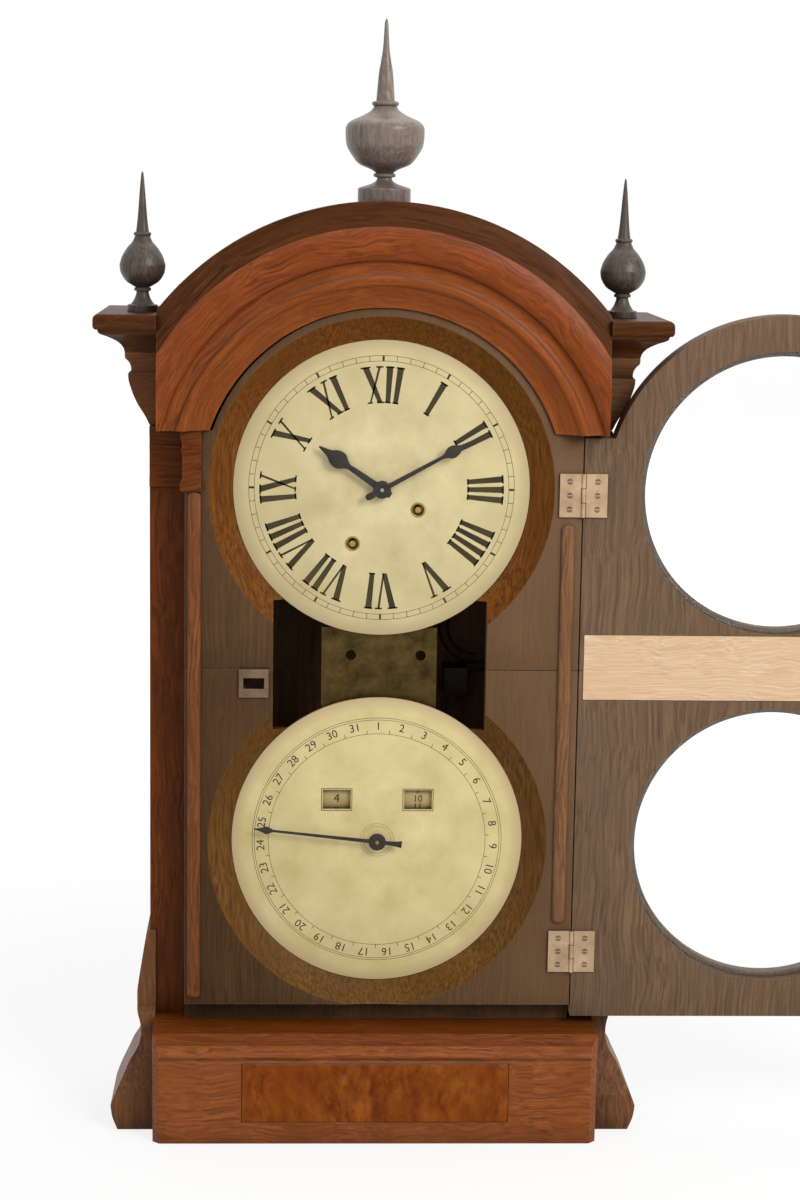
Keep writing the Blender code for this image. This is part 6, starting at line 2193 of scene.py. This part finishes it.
@dataclass
class Works:
    """The movement, pendulum, strike and calendar work behind the dials."""

    brass: tuple = (
        "movement_front_plate",
        "movement_back_plate",
        "time_barrel",
        "strike_barrel",
        "pendulum_bob",
        "date_arbor",
    )
    shaded_brass: tuple = ("calendar_front_plate", "calendar_back_plate")
    steel: tuple = ("centre_arbor", "crutch", "pendulum_rod", "hammer")
    iron: tuple = ("gong", "gong_block")

    def build(self) -> None:
        """Gives every inner piece its metal."""
        for name in self.brass:
            coat_node(name, BRASS.material())
        # The calendar plates take the darker brass: painted shade over real tarnish.
        for name in self.shaded_brass:
            coat_node(name, SHADED_BRASS.material())
        for name in self.steel:
            coat_node(name, STEEL.material())
        for name in self.iron:
            coat_node(name, IRON.material())


@dataclass
class Studio:
    """Floor, lamps, white surroundings and the camera."""

    camera_spot: Spot = (-0.0633, -1.8645, 0.7152)
    yaw: float = -2.437
    tilt: float = 9.539
    roll: float = 0.888
    lens: float = 75.29
    floor_radius: float = 6.0
    room_light: float = 0.55
    floor_glow: float = 0.80
    glow_reach: tuple = (0.45, 1.8)

    def build(self) -> None:
        """Sets the whole stage."""
        self.floor()
        self.world()
        self.lamp("key", (1.35, -1.7, 1.6), 1.0, 35.0, (1.0, 0.97, 0.93))
        self.lamp("fill", (-2.0, -2.4, 1.1), 1.6, 9.0, (0.96, 0.98, 1.0))
        self.lamp("top", (0.2, 0.6, 2.6), 1.6, 12.0, (1.0, 1.0, 1.0))
        self.camera()

    def floor(self) -> None:
        """A round pale floor that keeps the clock's shadow."""
        work = bmesh.new()
        bmesh.ops.create_circle(work, cap_ends=True, segments=96, radius=self.floor_radius)
        bmesh.ops.translate(work, verts=work.verts, vec=(0, 0, CAD_BOX[0].z - HAIR))
        piece = mesh_of("floor", work)
        material = bpy.data.materials.new("pale_floor")
        material.use_nodes = True
        wiring = Wiring(material.node_tree)
        material.node_tree.nodes.remove(material.node_tree.nodes["Principled BSDF"])
        out = material.node_tree.nodes["Material Output"]
        seen = self.seen(wiring)
        matt = wiring.node("BsdfDiffuse")
        matt.inputs["Color"].default_value = (0.22, 0.22, 0.22, 1)
        plain = wiring.node("BsdfDiffuse")
        plain.inputs["Color"].default_value = (0.6, 0.6, 0.6, 1)
        glow = wiring.node("Emission")
        spot = wiring.node("TexCoord").outputs["Object"]
        away = wiring.vector("LENGTH", spot).outputs["Value"]
        near, far = self.glow_reach
        wiring.feed(glow.inputs["Strength"], wiring.spread(away, near, far, self.floor_glow, 1.0))
        lit = wiring.node("AddShader")
        wiring.feed(lit.inputs[0], matt.outputs[0])
        wiring.feed(lit.inputs[1], glow.outputs[0])
        choice = wiring.node("MixShader")
        wiring.feed(choice.inputs[0], seen)
        wiring.feed(choice.inputs[1], plain.outputs[0])
        wiring.feed(choice.inputs[2], lit.outputs[0])
        wiring.feed(out.inputs["Surface"], choice.outputs[0])
        piece.data.materials.append(material)

    def seen(self, wiring: Wiring) -> bpy.types.NodeSocket:
        """1 for what the camera sees, straight, through glass or in a reflection.

        Args:
            wiring: The material's or the world's wiring.

        Returns:
            The socket of that value.
        """
        path = wiring.node("LightPath")
        first = wiring.math("MAXIMUM", path.outputs["Is Camera Ray"], path.outputs["Is Glossy Ray"])
        return wiring.math("MAXIMUM", first, path.outputs["Is Transmission Ray"])

    def world(self) -> None:
        """White surroundings that light the clock at a plain level."""
        world = bpy.data.worlds.new("studio")
        world.use_nodes = True
        bpy.context.scene.world = world
        wiring = Wiring(world.node_tree)
        background = world.node_tree.nodes["Background"]
        background.inputs["Color"].default_value = (1, 1, 1, 1)
        strength = wiring.spread(self.seen(wiring), 0.0, 1.0, self.room_light, 1.0)
        wiring.feed(background.inputs["Strength"], strength)

    def lamp(self, name: str, spot: Spot, size: float, power: float, colour: Colour) -> None:
        """A square soft lamp that looks at the clock.

        Args:
            name: The lamp's name.
            spot: Where it hangs.
            size: Its side.
            power: Its power in watts.
            colour: Its colour.
        """
        data = bpy.data.lights.new(name, "AREA")
        data.size = size
        data.energy = power
        data.color = colour
        made = bpy.data.objects.new(name, data)
        bpy.context.scene.collection.objects.link(made)
        made.location = spot
        aim = Vector((0.05, 0, 0.4)) - Vector(spot)
        made.rotation_euler = aim.to_track_quat("-Z", "Y").to_euler()

    def camera(self) -> None:
        """The camera, a little left of the clock and above it."""
        data = bpy.data.cameras.new("camera")
        data.sensor_fit = "AUTO"
        data.sensor_width = 36.0
        data.lens = self.lens
        data.clip_start = 0.05
        data.clip_end = 50.0
        made = bpy.data.objects.new("camera", data)
        bpy.context.scene.collection.objects.link(made)
        look = Matrix.Rotation(math.radians(self.yaw), 4, "Z")
        look = look @ Matrix.Rotation(math.radians(90 - self.tilt), 4, "X")
        look = look @ Matrix.Rotation(math.radians(self.roll), 4, "Z")
        made.matrix_world = Matrix.Translation(self.camera_spot) @ look
        bpy.context.scene.camera = made
        bpy.context.scene.view_settings.view_transform = "Standard"


def main() -> None:
    """Builds the stage and every sub-assembly in order."""
    logging.basicConfig(level=logging.INFO, format="%(name)s: %(message)s")
    for assembly in (Studio(), Base(), Walls(), Front(), Arch(), Corners(), Finials(), Dials(), Door(), Works()):
        LOG.info("building %s", type(assembly).__name__)
        assembly.build()


if __name__ == "__main__":
    main()
